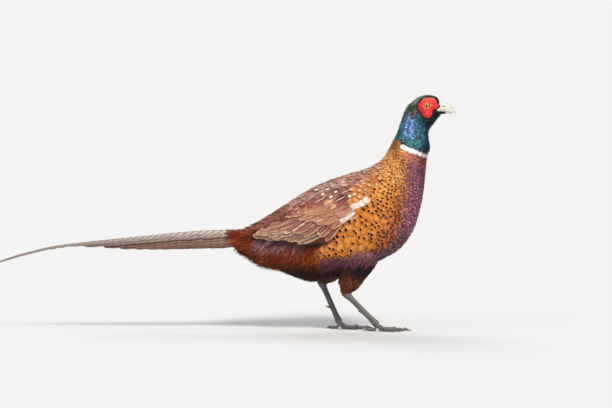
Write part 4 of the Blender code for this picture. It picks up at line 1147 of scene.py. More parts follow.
def thigh_shape(name):
    """The surface of a thigh as a function of a station, from the hip to the heel, and a turn round it."""
    hip, heel, _ = leg_places(name)
    end = heel + unit(hip - heel) * HEEL_SHOWS
    third, side = square_frame(end - hip, np.array([0.0, 1, 0]))
    knots = np.array(THIGH_SHARES)

    def shape(u, t):
        """The middle line from hip to heel, bulging forward by a sine, plus the ring's half length and half width
        times the cosine and sine of the turn. Past the heel the rings shrink."""
        share = np.clip(np.asarray(u, float) / THIGH_END, 0, 1.12)
        half = spline(THIGH_RINGS, np.interp(share, knots, np.arange(len(knots))))
        half = half * (1 - 0.55 * smooth(1.0, 1.12, share))[..., None]
        bulge = np.array([THIGH_BULGE, 0, 0]) * np.sin(np.pi * share)[..., None]
        turn = math.tau * np.asarray(t, float)[..., None]
        round_it = np.cos(turn) * third * half[..., :1] - np.sin(turn) * side * half[..., 1:]
        return hip + (end - hip) * share[..., None] + bulge + round_it

    return shape


def thigh_colours(point, chance):
    """The looks of the thigh's feathers: those of the flank where they come out from under it, blue black below it
    and in front, rufous brown behind and at the heel."""
    n = len(point)
    x, z = point[:, 0], point[:, 2]
    ground = varied(chance, n, "0e0a10 1a131a 08070c 221824")
    behind = smooth(8, -10, x - np.interp(z, (60, 120), (196, 200)))
    low = smooth(92, 66, z)
    rufous = varied(chance, n, "44200f 6c381c 8c4e2a 50260f")
    ground = blend(ground, rufous, np.clip(behind * 0.35 + low * 0.9, 0, 1))
    flank = varied(chance, n, "643038 82484c 4a3856 6c3636")
    flank = blend(flank, varied(chance, n, "8a5458 a86c58 74505c"), smooth(-4, 6, z - belly_line(x)))
    ground = blend(ground, flank, smooth(97, 103, z + 2.0 * np.sin(x * 0.35)))
    # Rims at half the ground: painted shade in the gaps between feathers
    return plain_looks(ground, ground * 0.5, 0.5)


def dress_thigh(name, made, chance):
    """The hair-like feathers of one thigh, in staggered rows from the hip to the heel, with small random steps, sizes
    and leans."""
    shape = thigh_shape(name)
    rows, columns = 38, 44
    u, t = np.meshgrid(np.linspace(0.9, 8.05, rows), np.arange(columns) / columns, indexing="ij")
    t = t + (np.arange(rows) % 2)[:, None] / (2 * columns)
    u, t = (u + chance.normal(0, 0.12, u.shape)).ravel(), (t + chance.normal(0, 0.006, t.shape)).ravel() % 1
    n = len(u)
    tract = dict(
        **{"u": u, "t": t, "sunk": np.full(n, 1.6), "camber": np.full(n, 0.4), "thick": np.ones(n)},
        lean=chance.normal(0, 0.16, n),
        length=np.interp(u, (0, 4, 8), (17.0, 15.0, 10.0)) * chance.uniform(0.75, 1.2, n),
        width=np.interp(u, (0, 4, 8), (1.9, 1.6, 1.1)) * chance.uniform(0.8, 1.2, n),
        bend=chance.normal(0, 0.9, n),
        rise=chance.uniform(0.1, 1.6, n),
    )
    tract.update(thigh_colours(shape(u + 1.0, t), chance))
    lay_feathers("coat_thigh_" + name, made, "thigh", tract, 6, 3, 0.1, shape)


def hang_strands(made, chance):
    """The loose, hair-like feathers that hang from under the wings over the rump, the vent and the rear of the
    flank, long, narrow and nearly upright."""

    def spacing(_, point):
        """3 mm behind the flank and under the wing, and in a band along the lower flank, and 0 elsewhere."""
        x, z = point[..., 0], point[..., 2]
        grown = (rear_share(point) > 0.45) & (z < 152) & (x > 26) & (back_share(point) < 0.3)
        band = (z < belly_line(x) + 1) & (z > 84) & (x > 120) & (x < 262)
        return np.where((grown & (wing_bulge(point) < 0.5)) | band, 3.0, 0.0)

    u, t = scatter(spacing, 9.0, 21.4, chance, 6)
    n = len(u)
    point = body_point(u, t)
    x, z = point[:, 0], point[:, 2]
    side = np.abs(np.sin(math.tau * t))
    lean = np.interp(x, (25, 60, 110, 150, 190), (0.35, 0.85, 1.0, 0.7, 0.3)) * side
    lean = lean + chance.normal(0, 0.12, n)
    length = chance.uniform(16, 27, n) * np.interp(z, (90, 125), (0.7, 1.0))
    fringe = chance.uniform(0, 5, n) * smooth(0.85, 0.3, side) * smooth(125, 95, x)
    short = x - length * np.cos(lean) < np.interp(z, (124, 139, 152), (19, 16, 2))
    length = length * np.where(short, 0.6, 1.0)
    _, along, around, way, _ = lie(body_point, u, t, lean)
    du, dt = along_surface(way * 0.55 * length[:, None], along, around)
    tract = dict(
        **{"u": u, "t": t, "lean": lean, "length": length},
        **{"sunk": np.full(n, 1.5), "camber": np.full(n, 0.3), "thick": np.ones(n)},
        width=chance.uniform(0.8, 1.5, n),
        bend=chance.normal(0, 1.6, n),
        rise=chance.uniform(0.8, 3.6, n) * np.interp(x, (150, 180), (1.0, 0.5)) + fringe,
    )
    ground = body_colours(u + du, (t + dt) % 1, body_point(u + du, t + dt), chance)["ground"][:, :3]
    ground = ground * chance.uniform(0.75, 1.3, (n, 1))
    # Rims at 0.6 of the ground: painted shade in the gaps between strands
    tract.update(plain_looks(ground, ground * 0.6, 0.4))
    lay_feathers("coat_loose_strands", made, "rump", tract, 7, 3, 0.1)


def raise_ear_tufts(made, chance):
    """The small tufts behind the crown: feathers strewn about one place on either side, with a normal spread, longer
    than their neighbours and turned up and out to the rear."""
    n = 90
    u, t = side_place(EAR_TUFT[0] + chance.normal(2, 3.0, n), EAR_TUFT[2] + chance.normal(0, 2.2, n))
    t = np.where(np.arange(n) % 2 > 0, 1 - t, t)
    tract = make_tract(u, t, chance, head_colours)
    tract["length"] = chance.uniform(7, 12, n)
    tract["width"] = chance.uniform(0.55, 0.85, n)
    tract["rise"] = chance.uniform(0.8, 3.6, n)
    tract["lean"] = chance.normal(-0.3, 0.12, n)
    tract["ground"][:, :3] = varied(chance, n, "1f4a38 4a6a48 2a5c50 6a7450")
    # Rims at half the ground: painted shade in the gaps between feathers
    tract["rim"][:, :3] = tract["ground"][:, :3] * 0.5
    lay_feathers("coat_ear_tufts", made, "head", tract, 6, 3, 0.4)


def skin_depth(u, point):
    """How deep the skin lies under the coat's surface: 1 mm on the head, 3.4 mm on the body, and deeper under the
    bare skin and round the eyeball, which take its place there."""
    depth = np.interp(u, (0, 5, 9, 12), (1.0, 1.3, 2.4, COAT_DEPTH))
    x, z = point[..., 0] - EYE_CENTRE[0], point[..., 2] - EYE_CENTRE[2]
    depth = depth + 1.3 * smooth(1.5, -1.5, past_wattle(point)) * (u < 5)
    return depth + 5.0 * smooth(8.5, 5.0, np.hypot(x, z)) * (u < 5)


def make_skin():
    """One closed skin over head, neck, trunk, wings and thighs: the body's surface, less the coat's depth, closed at
    both ends, with the thighs joined on. Its colours are those of the feathers that grow there, but darker."""
    rows, columns, thigh_rings = 300, 144, 48
    u, t = np.meshgrid(np.linspace(0.02, BODY_END + 0.6, rows), np.arange(columns) / columns, indexing="ij")
    ends = smooth(0, 0.3, u) * smooth(BODY_END + 0.6, BODY_END, u)
    point = lifted(body_point, u, t, -skin_depth(u, body_point(u, t)))
    middle = point.mean(1, keepdims=True)
    point = middle + (point - middle) * (0.55 + 0.45 * ends)[..., None]
    made = skin_finish()
    skin = new_piece("skin", point, tube_faces(rows, columns)[:, ::-1], made, "body")
    others = []
    for name in SIDES:
        u, t = np.meshgrid(np.linspace(0.1, 7.9, thigh_rings), np.arange(48) / 48, indexing="ij")
        points, _, _, normal = slopes(thigh_shape(name), u, t)
        others.append(new_piece("thigh_skin", points - normal * THIGH_COAT, tube_faces(thigh_rings, 48), made, "thigh"))
    join_closed(skin, others)
    place = np.zeros(len(skin.data.vertices) * 3)
    skin.data.vertices.foreach_get("co", place)
    place = place.reshape(-1, 3) / MM
    u, t = side_place(place[:, 0], place[:, 2])
    t = np.where(place[:, 1] < 0, 1 - t, t) % 1
    chance = np.random.default_rng(3)
    colours = body_colours(u, t, place, chance)["ground"]
    head = u < 8.4
    looks = head_colours(u[head], t[head], place[head], chance)
    colours[head, :3] = collared(place[head], looks["ground"][:, :3], looks["below_collar"])[0]
    colours[:, :3] *= 0.55
    set_attribute(skin.data, "ground", colours)
    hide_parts("head", "neck", "torso", "rump", "thigh_left", "thigh_right", "wing_left", "wing_right")


def join_closed(target, others):
    """Joins closed shapes to target by one Boolean union, and removes them."""
    tools = bpy.data.collections.new("tools")
    bpy.context.scene.collection.children.link(tools)
    for other in others:
        bpy.context.scene.collection.objects.unlink(other)
        tools.objects.link(other)
        outwards(other)
    outwards(target)
    modifier = target.modifiers.new("join", "BOOLEAN")
    modifier.operation, modifier.operand_type, modifier.collection = "UNION", "COLLECTION", tools
    modifier.solver = "MANIFOLD"
    graph = bpy.context.evaluated_depsgraph_get()
    graph.update()
    mesh = bpy.data.meshes.new_from_object(target.evaluated_get(graph))
    target.modifiers.clear()
    target.data = mesh
    for other in others:
        bpy.data.objects.remove(other)
    bpy.data.collections.remove(tools)


def outwards(piece):
    """Turns all the faces of a closed piece outwards."""
    work = bmesh.new()
    work.from_mesh(piece.data)
    bmesh.ops.recalc_face_normals(work, faces=work.faces)
    if work.calc_volume(signed=True) < 0:
        bmesh.ops.reverse_faces(work, faces=work.faces)
    work.to_mesh(piece.data)
    work.free()


def skin_finish():
    """Skin with the bases of the feathers: their colours under down that scatters light, so it looks matt and soft.
    Real down is finer than shows; it is drawn as flecks of 2 mm."""
    made, tree = finish("downy_skin", Roughness=0.75)
    ground = add(tree, "Attribute", attribute_name="ground")
    down = add(tree, "TexNoise", {0: add(tree, "TexCoord", out=3), "Scale": 500.0, "Detail": 4.0})
    tone = add(tree, "MapRange", (down, 0.3, 0.7, 0.6, 1.1))
    colour = add(tree, "Mix", {0: 1.0, 6: ground, 7: tone}, 2, **TINT)
    return surfaced(made, colour, down, 0.6, 0.0003)


def tube(centres, ahead, half_a, half_b, side_way, turns):
    """Rings round centres, square to ahead: half_b along side_way and half_a the third way, each given for every
    ring or for every point of it."""
    third, side = square_frame(ahead, np.asarray(side_way, float) + 0 * ahead)
    c, s = np.cos(turns)[..., None], np.sin(turns)[..., None]
    half_a, half_b = (np.broadcast_to(h, (len(centres), len(turns)))[..., None] for h in (half_a, half_b))
    return centres[:, None] + c * third[:, None] * half_a + s * side[:, None] * half_b


def scutes(share, count, depth):
    """The relief of overlapping horn plates along a leg: each swells to its lower end, as its own share to the power
    0.7, and drops to the next over its last eighth."""
    part = share * count % 1
    return depth * (part**0.7 - smooth(0.88, 1.0, part))


def joined(shapes):
    """The points and the faces of several closed tubes, one after another, with their faces turned outwards."""
    starts = np.cumsum([0] + [rings.size // 3 for rings, _ in shapes])
    points = np.vstack([rings.reshape(-1, 3) for rings, _ in shapes])
    return points, np.vstack([faces + start for (_, faces), start in zip(shapes, starts)])[:, ::-1]


def make_leg(name):
    """The bare shank, toes, claws and spur of one leg. The shank is a tube from heel to toes that swells at both
    ends, with broad plates in front, smaller ones behind and a net of small scales on its sides."""
    sign = SIDES[name]
    _, heel, joint = leg_places(name)
    way, upright = joint - heel, (0, 1, 0)
    rows, columns = 150, 48
    share = np.linspace(-0.05, 1, rows)
    turns = np.linspace(0, math.tau, columns, endpoint=False)
    swell = 1 + 0.5 * bell(share, 0.03, 0.11) + 0.28 * bell(share, 0.95, 0.1) - 0.25 * smooth(0.97, 1.0, share)
    radius = (TARSUS_RADIUS * swell)[:, None] * np.ones(columns)
    s, turn = share[:, None], turns[None, :]
    third, _ = square_frame(way, np.array([0.0, 1, 0]))
    front = np.cos(turn) * np.sign(third[0])
    plates = smooth(0.1, 0.45, front) * scutes(s, 17, 0.5)
    rear = smooth(0.35, 0.7, -front) * scutes(s + 0.03, 20, 0.3)
    net = np.abs(np.sin(s * 95 + 2 * np.sin(turn * 2))) * np.abs(np.sin(turn * 11))
    relief = plates + rear + 0.22 * smooth(0.5, 0.2, np.abs(front)) * net
    ahead, centres = way + 0 * share[:, None], heel + way * share[:, None]
    shank = tube(centres, ahead, radius * 1.05 + relief, radius * 0.8 + relief, upright, turns)
    horny, claws = [(shank, tube_faces(rows, columns))], []
    for toe, (turn_out, length) in TOES.items():
        angle = math.radians(turn_out * sign)
        ahead = np.array([math.cos(angle), math.sin(angle), 0])
        horny.append(make_toe(toe, joint * [1, 1, 0], ahead, length))
        end = joint * [1, 1, 0] + ahead * (length - 1.0)
        claws.append(make_claw(end, ahead, CLAW_LENGTH * (0.65 if toe == "hind" else 1) + 1.0))
    dark = horn_finish("claw_horn_" + name, "2b2422", "5c4f48", 0.35)
    new_piece("leg_" + name, *joined(horny), leg_finish(), "leg", stands_for=["shank_" + name])
    new_piece("claws_" + name, *joined(claws), dark, "claw", stands_for=[f"claw_{toe}_{name}" for toe in TOES])
    out = unit(np.array([-0.85, -0.45 * sign, 0.1]))
    s = np.linspace(0, 1, 24)
    size = 1 - 0.87 * s**0.9 + 0.04 * np.sin(s * 40) * (1 - s)
    curve = out * (1.2 + (SPUR_LENGTH + 0.8) * s)[:, None] + np.array([0, 0, 1.4]) * (s**2)[:, None]
    centres = heel + way * SPUR_PLACE + curve
    rings = tube(centres, out + 0 * centres, 2.9 * size[:, None], 2.6 * size[:, None], upright, turns[::2])
    new_piece("spur_horn_" + name, *joined([(rings, tube_faces(24, 24))]), dark, "claw", stands_for=["spur_" + name])


def on_floor(start, ahead, s, height, half_a, half_b, columns):
    """A tube from start straight ahead by each s at each height, cut flat at the floor, and its faces."""
    turns = np.linspace(0, math.tau, columns, endpoint=False)
    centres = start + ahead * s[:, None] + np.array([0, 0, 1.0]) * height[:, None]
    rings = tube(centres, ahead + 0 * centres, half_a, half_b, (0, 0, 1), turns)
    rings[..., 2] = np.maximum(rings[..., 2], 0)
    return rings, tube_faces(len(s), columns)


def make_toe(toe, joint, ahead, length):
    """One toe: a tube that runs straight ahead from under the joint. Its radius falls evenly by a third, and its
    middle comes down from the joint's height with the power 1.5. It has plates over its top and pads under it
    between its joints, as sines, and is flat where it rests on the floor."""
    columns = 32
    s = np.linspace(-0.02, 1, 64)
    radius = TOE_RADIUS * (1.12 - 0.4 * s) * (0.85 if toe == "hind" else 1)
    height = radius * 0.8 + (TOE_JOINT_HEIGHT - radius * 0.8) * np.maximum(0, 1 - s * 3.2) ** 1.5
    top = np.sin(np.linspace(0, math.tau, columns, endpoint=False))[None, :]
    plates = smooth(0.1, 0.5, top) * scutes(s[:, None], length / 2.9, 0.42)
    pads = smooth(0.0, -0.5, top) * 0.5 * np.abs(np.sin(s[:, None] * math.pi * length / 11))
    closing = (1 - 0.35 * smooth(0.9, 1.0, s))[:, None]
    half = radius[:, None] * closing + plates + pads
    return on_floor(joint, ahead, length * s, height, half * 0.92, half, columns)


def make_claw(start, ahead, length):
    """A horn claw that curves down to the floor from the toe's end: a tube whose radius falls with the power 1.15 and
    whose middle comes down with the power 0.6, flat where it lies on the floor."""
    s = np.linspace(0, 1, 28)
    radius = TOE_RADIUS * 0.72 * (1 - 0.93 * s**1.15)
    height = TOE_RADIUS * 0.62 * np.maximum(1 - s, 0) ** 0.6 + radius * 0.6
    return on_floor(start, ahead, length * s, height, radius[:, None] * 0.78, radius[:, None], 20)


def leg_finish():
    """Horny scales of a leg, keratin with a dull gloss: grey with a brown tinge in patches of 8 mm, darker in the
    furrows, with a grain of 0.6 mm."""
    made, tree = finish("grey_leg_scales", Roughness=0.48, Coat_Weight=0.15, Coat_Roughness=0.35)
    place = add(tree, "TexCoord", out=3)
    wander = add(tree, "TexNoise", {0: place, "Scale": 120.0, "Detail": 3.0})
    grain = add(tree, "TexNoise", {0: place, "Scale": 1600.0, "Detail": 3.0})
    furrow = add(tree, "MapRange", (add(tree, "NewGeometry", out=7), 0.44, 0.52, 0.35, 1.0))
    colour = add(tree, "Mix", {0: wander, 6: rgb("4a4644"), 7: rgb("6e665e")}, 2, **OVER)
    colour = add(tree, "Mix", {0: 1.0, 6: colour, 7: furrow}, 2, **TINT)
    return surfaced(made, colour, grain, 0.5, 0.0001)


def horn_finish(name, dark, light, roughness, scale=420.0):
    """Horn, keratin that wear has polished: two tones in streaks that noise draws out, 0.6 to 2 mm wide and 4 to
    10 mm long, under a smooth and slightly glossy surface."""
    made, tree = finish(name, Roughness=roughness, Coat_Weight=0.3, Coat_Roughness=0.2)
    place = add(tree, "Mapping", {0: add(tree, "TexCoord", out=3), 3: (0.25, 1.2, 2.0)})
    streak = add(tree, "TexNoise", {0: place, "Scale": scale, "Detail": 4.0})
    streak = add(tree, "MapRange", (streak, 0.34, 0.6, 0.0, 1.0))
    colour = add(tree, "Mix", {0: streak, 6: rgb(dark), 7: rgb(light)}, 2, **OVER)
    return surfaced(made, colour, streak, 0.3, 0.0001)


# Eyes, bare skin and bill

CULMEN = ((330.0, 353.8), (340.5, 353.2), (346.8, 350.6), (352.8, 346.6), (357.2, 341.8), (359.7, 336.0))
TOMIUM = ((326.0, 341.2), (336.5, 340.0), (344.0, 339.0), (350.5, 337.3), (355.6, 335.2), (359.3, 334.4))
BILL_HALF_WIDTH = (7.2, 6.4, 5.4, 4.2, 2.9, 0.7)
LOWER_EDGE = ((326.0, 336.9), (336.0, 335.6), (343.0, 334.6), (348.5, 334.4), (354.2, 335.0))
LOWER_HALF_WIDTH = (6.7, 5.8, 4.8, 3.6, 1.2)
NOSTRIL = (340.5, 346.0)
# Marks on the bare skin: centre from the eye, one over the half lengths, strength and colour
WATTLE_MARKS = (
    ((-6.4, 0.0, -4.2), (0.24, 1.0, 0.75), 1.0, "3c2c38"),
    ((-0.8, 0.0, -5.4), (0.5, 1.0, 1.3), 0.8, "4a2028"),
    ((6.4, 0.0, 1.2), (0.55, 1.0, 0.7), 0.6, "c98a92"),
    ((12.0, 0.0, 2.2), (0.8, 1.0, 0.55), 0.75, "7a1418"),
    ((-4.0, 0.0, -9.5), (0.6, 1.0, 0.9), 0.5, "9a1016"),
)


def from_eye(tree, sign):
    """Where a place lies from the middle of the eye on that side, in millimetres along X and Z, and how far."""
    centre = tuple(EYE_CENTRE * [1, sign, 1] * MM)
    place = add(tree, "VectorMath", (add(tree, "TexCoord", out=3), centre), operation="SUBTRACT")
    flat = add(tree, "VectorMath", (place, (1 / MM, 0.0, 1 / MM)), operation="MULTIPLY")
    return flat, add(tree, "VectorMath", (flat,), 1, operation="LENGTH")


def make_eye(side):
    """An eyeball with a raised cornea: a sphere whose radius grows by 0.45 mm round its outward pole. The cornea is
    clear and wet, with a sharp highlight, over an amber iris with fine fibres that run in to the pupil."""
    name, sign = side
    rows, columns = 65, 64
    pupil_radius, iris_radius = 2.0, 3.8
    down = np.linspace(0.01, math.pi - 0.01, rows)[:, None]
    turn = np.linspace(0, math.tau, columns, endpoint=False)[None, :]
    radius = EYE_RADIUS - 0.1 + 0.45 * smooth(math.cos(0.95), 1.0, np.cos(down)) + 0 * turn
    way = np.stack([np.sin(down) * np.cos(turn), np.cos(down) * sign + 0 * turn, np.sin(down) * np.sin(turn)], -1)
    points = EYE_CENTRE * [1, sign, 1] + way * radius[..., None]
    faces = tube_faces(rows, columns)[:, ::sign]
    made, tree = finish("amber_eye_" + name, Roughness=0.08, IOR=1.376, Coat_Weight=1.0, Coat_Roughness=0.02)
    flat, far = from_eye(tree, sign)
    ray = add(tree, "VectorMath", (flat,), operation="NORMALIZE")
    fibre = add(tree, "TexNoise", {0: ray, "Scale": 16.0, "Detail": 3.0})
    pupil = add(tree, "MapRange", (far, pupil_radius + 0.1, pupil_radius - 0.1, 0.0, 1.0), **SOFT)
    limbus = add(tree, "MapRange", (far, iris_radius - 0.25, iris_radius + 0.3, 0.0, 1.0), **SOFT)
    iris = add(tree, "Mix", {0: fibre, 6: rgb("c47a1e"), 7: rgb("f6c65a")}, 2, **OVER)
    for share, over in ((limbus, "3a1a0c"), (pupil, "07070a")):
        iris = add(tree, "Mix", {0: share, 6: iris, 7: rgb(over)}, 2, **OVER)
    new_piece("eyeball_" + name, points, faces, surfaced(made, iris), "eye", stands_for=["eye_" + name])


def wattle_height(turn, share, x, z):
    """How high the bare skin stands over the cheek: the lids' rim, a furrow round them, a swelling, the lobe below,
    folds that run out from the eye, and a pile of small round papillae."""
    lid = 1.5 * bell(share, 0.03, 0.07) + 0.35 * bell(share, 0.17, 0.05)
    swell = 1.9 * np.maximum(np.sin(math.pi * share), 0) ** 0.7
    below = bell(turn, 4.45, 0.7)
    lobe = 1.9 * below * bell(share, 0.7, 0.25)
    fold = 0.65 * np.cos(7 * turn + 4 * share + 0.8 * np.sin(3 * turn)) * np.sin(math.pi * share) ** 2
    fine = 0.14 * np.cos(23 * turn + 9 * share) * bell(share, 0.3, 0.2)
    wx, wz = x + 0.5 * np.sin(z * 1.3), z + 0.5 * np.sin(x * 1.1)
    pile = 0.26 * np.sin(wx * 5.2) * np.sin(wz * 5.2) * smooth(0.2, 0.4, share) * smooth(1.0, 0.9, share)
    return 0.3 + lid + swell + lobe + fold + fine + pile


def make_wattle(side):
    """The bare red skin round an eye, from the lids' opening out to its edge: a closed sheet whose outer face stands
    wattle_height over the cheek and whose inner face lies 2 mm in it, or on the eyeball."""
    name, sign = side
    rows, columns = 224, 60
    turn = np.linspace(0, math.tau, rows, endpoint=False)[:, None]
    share = np.linspace(0, 1, columns)[None, :]
    near = 1 / np.hypot(np.cos(turn) / LID_OPENING[0], np.sin(turn) / LID_OPENING[1])
    far = wattle_reach(turn) + 0.16 * np.sin(turn * 17 + 2 * np.sin(turn * 3))
    far = far + 0.1 * np.sin(turn * 41 + 3 * np.sin(turn * 5))
    r = near + (far - near) * share
    x, z = EYE_CENTRE[0] + np.cos(turn) * r, EYE_CENTRE[2] + np.sin(turn) * r
    u, t = side_place(x, z)
    spot, _, _, out = slopes(body_point, u, t)
    ball = EYE_CENTRE[1] + np.sqrt(np.maximum(0, (EYE_RADIUS + 0.4) ** 2 - r * r))
    deep = spot - out * 2.0
    on_ball = (r < EYE_RADIUS + 0.6) & (deep[..., 1] < ball)
    deep = np.where(on_ball[..., None], np.stack([x, ball, z], -1), deep)
    high = spot + out * wattle_height(turn, share, x, z)[..., None]
    high[..., 1] = np.maximum(high[..., 1], deep[..., 1] + 0.8)
    lid = 0.03
    rim = np.sqrt(np.clip(1 - ((share - lid) / lid) ** 2, 0, 1)) * (share < lid)
    rim = deep[..., 1] + (high[..., 1] - deep[..., 1]) * (0.25 + 0.75 * rim)
    high[..., 1] = np.where(share < lid, rim, high[..., 1])
    grid = np.concatenate([high, deep[:, ::-3]], 1) * [1, sign, 1]
    count = grid.shape[1]
    i, j = np.arange(rows)[:, None], np.arange(count)[None, :]
    k, n = (i + 1) % rows, (j + 1) % count
    faces = np.stack([i * count + j, k * count + j, k * count + n, i * count + n], -1).reshape(-1, 4)
    made = wattle_finish(name, sign)
    outwards(new_piece("bare_skin_" + name, grid, faces, made, "wattle", stands_for=["wattle_" + name]))


def wattle_finish(name, sign):
    """Bare wattle skin, moist and full of blood: bright red with a soft glow, lighter on its papillae of 0.9 mm, with
    a dusky line under the eye and a paler, orange rim to the lids. Painted shade darkens its furrows and a painted
    highlight lightens its ridges, by how sharply the surface curves, and a painted highlight makes it lighter and
    pinker towards its top, as light from above would."""
    skin = {"Subsurface_Weight": 0.12, "Subsurface_Scale": 0.002, "Subsurface_Radius": (1.0, 0.25, 0.15)}
    made, tree = finish("red_bare_skin_" + name, Roughness=0.5, **skin)
    place = add(tree, "TexCoord", out=3)
    wander = add(tree, "TexNoise", {0: place, "Scale": 260.0, "Detail": 3.0})
    piles = add(tree, "TexVoronoi", {0: place, "Scale": 1100.0})
    colour = add(tree, "Mix", {0: wander, 6: rgb("bc0810"), 7: rgb("f01f18")}, 2, **OVER)
    # Painted shade and highlight: darker in the furrows and a little lighter on the ridges, by how sharply the surface
    # curves
    deep = add(tree, "MapRange", (add(tree, "NewGeometry", out=7), 0.42, 0.52, 0.45, 1.08))
    colour = add(tree, "Mix", {0: 1.0, 6: colour, 7: deep}, 2, **TINT)
    flat, far = from_eye(tree, sign)
    top = add(tree, "VectorMath", (flat, (0.0, 0.0, 1.0)), 1, operation="DOT_PRODUCT")
    lid = add(tree, "MapRange", (far, 6.2, 5.0, 0.0, 0.8), **SOFT)
    # Painted highlight of the light from above: the skin lighter and pinker towards its top
    top = add(tree, "MapRange", (top, 2.0, 11.0, 0.0, 0.5), **SOFT)
    layers = [(lid, "d98a4e"), (top, "ee6a58")]
    for centre, shape, strength, code in WATTLE_MARKS:
        spot = add(tree, "VectorMath", (flat, centre), operation="SUBTRACT")
        spot = add(tree, "VectorMath", (spot, shape), operation="MULTIPLY")
        spot = add(tree, "VectorMath", (spot,), 1, operation="LENGTH")
        spot = add(tree, "Math", (wander, 0.8, spot), operation="MULTIPLY_ADD")
        layers.append((add(tree, "MapRange", (spot, 1.4, 0.8, 0.0, strength), **SOFT), code))
    for share, code in layers:
        colour = add(tree, "Mix", {0: share, 6: colour, 7: rgb(code)}, 2, **OVER)
    return surfaced(made, colour, piles, 0.5, 0.00015)


def make_gape(side, made):
    """The pale corner of the mouth: a wedge on the cheek that tapers back from the bill's base between two lines. It
    is crowned across by half an ellipse, less a bell for the line of the mouth, and sinks in at both ends."""
    name, sign = side
    x = np.linspace(338, 328.8, 24)[:, None]
    b = np.linspace(-1, 1, 11)[None, :]
    top = np.interp(x, (329, 332.5, 336), (340.3, 342.6, 345.8))
    bottom = np.interp(x, (329, 332.5, 336), (339.9, 338.9, 337.4))
    z = (top + bottom) / 2 + b * (top - bottom) / 2
    u, t = side_place(x + 0 * b, z)
    crown = -0.1 + 0.55 * np.sqrt(1 - b**2) - 0.4 * bell(b, -0.2, 0.14)
    crown = crown - 2.0 * smooth(333.0, 338.0, x) - 0.35 * smooth(332, 329, x)
    outer, inner = lifted(body_point, u, t, crown + 0 * x), lifted(body_point, u, t, -1.0 + 0 * crown)
    grid = np.concatenate([outer, inner[:, ::-1]], 1) * [1, sign, 1]
    outwards(new_piece("gape_" + name, grid, tube_faces(*grid.shape[:2]), made, "bill"))


def cover_chin(made):
    """The black feathers of the chin, which reach forward over the sides of the lower half of the bill."""

    def chin(u, t):
        """The under side of the bill's base: sine of the turn times its half width, cosine times its half depth."""
        x = 330.0 + np.asarray(u, float) * 1.6
        turn = math.tau * np.asarray(t, float)
        low = np.interp(x, (328, 336, 346), (334.6, 334.8, 334.4))
        half = np.interp(x, (326, 331, 336, 346), (8.4, 7.4, 6.3, 4.4))
        return np.stack([x, np.sin(turn) * half, 338.2 + np.cos(turn) * (338.2 - low)], -1)

    chance = np.random.default_rng(29)
    u, t = np.meshgrid(np.linspace(-2.2, 6.4, 15), np.linspace(0.22, 0.78, 19), indexing="ij")
    u, t = (u + chance.normal(0, 0.15, u.shape)).ravel(), (t + chance.normal(0, 0.008, t.shape)).ravel()
    low = (u < 1.0) | (np.abs(t - 0.5) < 0.23)
    u, t = u[low], t[low]
    n = len(u)
    tract = dict(
        **{"u": u, "t": t, "sunk": np.full(n, 0.5), "camber": np.full(n, 0.1), "thick": np.full(n, 0.6)},
        lean=chance.normal(0, 0.15, n),
        length=chance.uniform(2.6, 4.6, n),
        width=chance.uniform(0.4, 0.7, n),
        bend=chance.normal(0, 0.2, n),
        rise=chance.uniform(0.1, 0.7, n),
    )
    ground = varied(chance, n, "04060a 0c1016 101a1e")
    tract.update(plain_looks(ground, ground, 0.0))
    lay_feathers("coat_chin", made, "head", tract, 5, 3, 0.2, chin)


def bill_finish():
    """The horn of the bill: ivory streaked with grey, and painted shade that darkens the slits of the nostrils."""
    made = horn_finish("ivory_bill_horn", "b4aca0", "e0dcd4", 0.42, 900.0)
    tree = made.node_tree
    colour = tree.nodes["Principled BSDF"].inputs["Base Color"].links[0].from_socket
    middle = (NOSTRIL[0] * MM, 0.0, NOSTRIL[1] * MM)
    place = add(tree, "VectorMath", (add(tree, "TexCoord", out=3), middle), operation="SUBTRACT")
    place = add(tree, "Mapping", {0: place, 2: (0.0, 0.12, 0.0), 3: (340.0, 0.0, 1500.0)})
    far = add(tree, "VectorMath", (place,), 1, operation="LENGTH")
    # Painted shade inside the nostril's slit: dark brown over the horn
    slit = add(tree, "MapRange", (far, 1.1, 0.6, 0.0, 0.75), **SOFT)
    return surfaced(made, add(tree, "Mix", {0: slit, 6: colour, 7: rgb("2e221e")}, 2, **OVER))


def bill_half(name, outer, narrower, under_z, made):
    """A closed half of the bill: outer rows over its horn, joined under it by the same rows made narrower, whose
    heights under_z gives."""
    under = outer[:, -2:0:-1] * [1, narrower, 1]
    under[..., 2] = under_z(under[..., 2])
    grid = np.concatenate([outer, under], 1)
    outwards(new_piece(name + "_horn", grid, tube_faces(*grid.shape[:2]), made, "bill", stands_for=[name]))


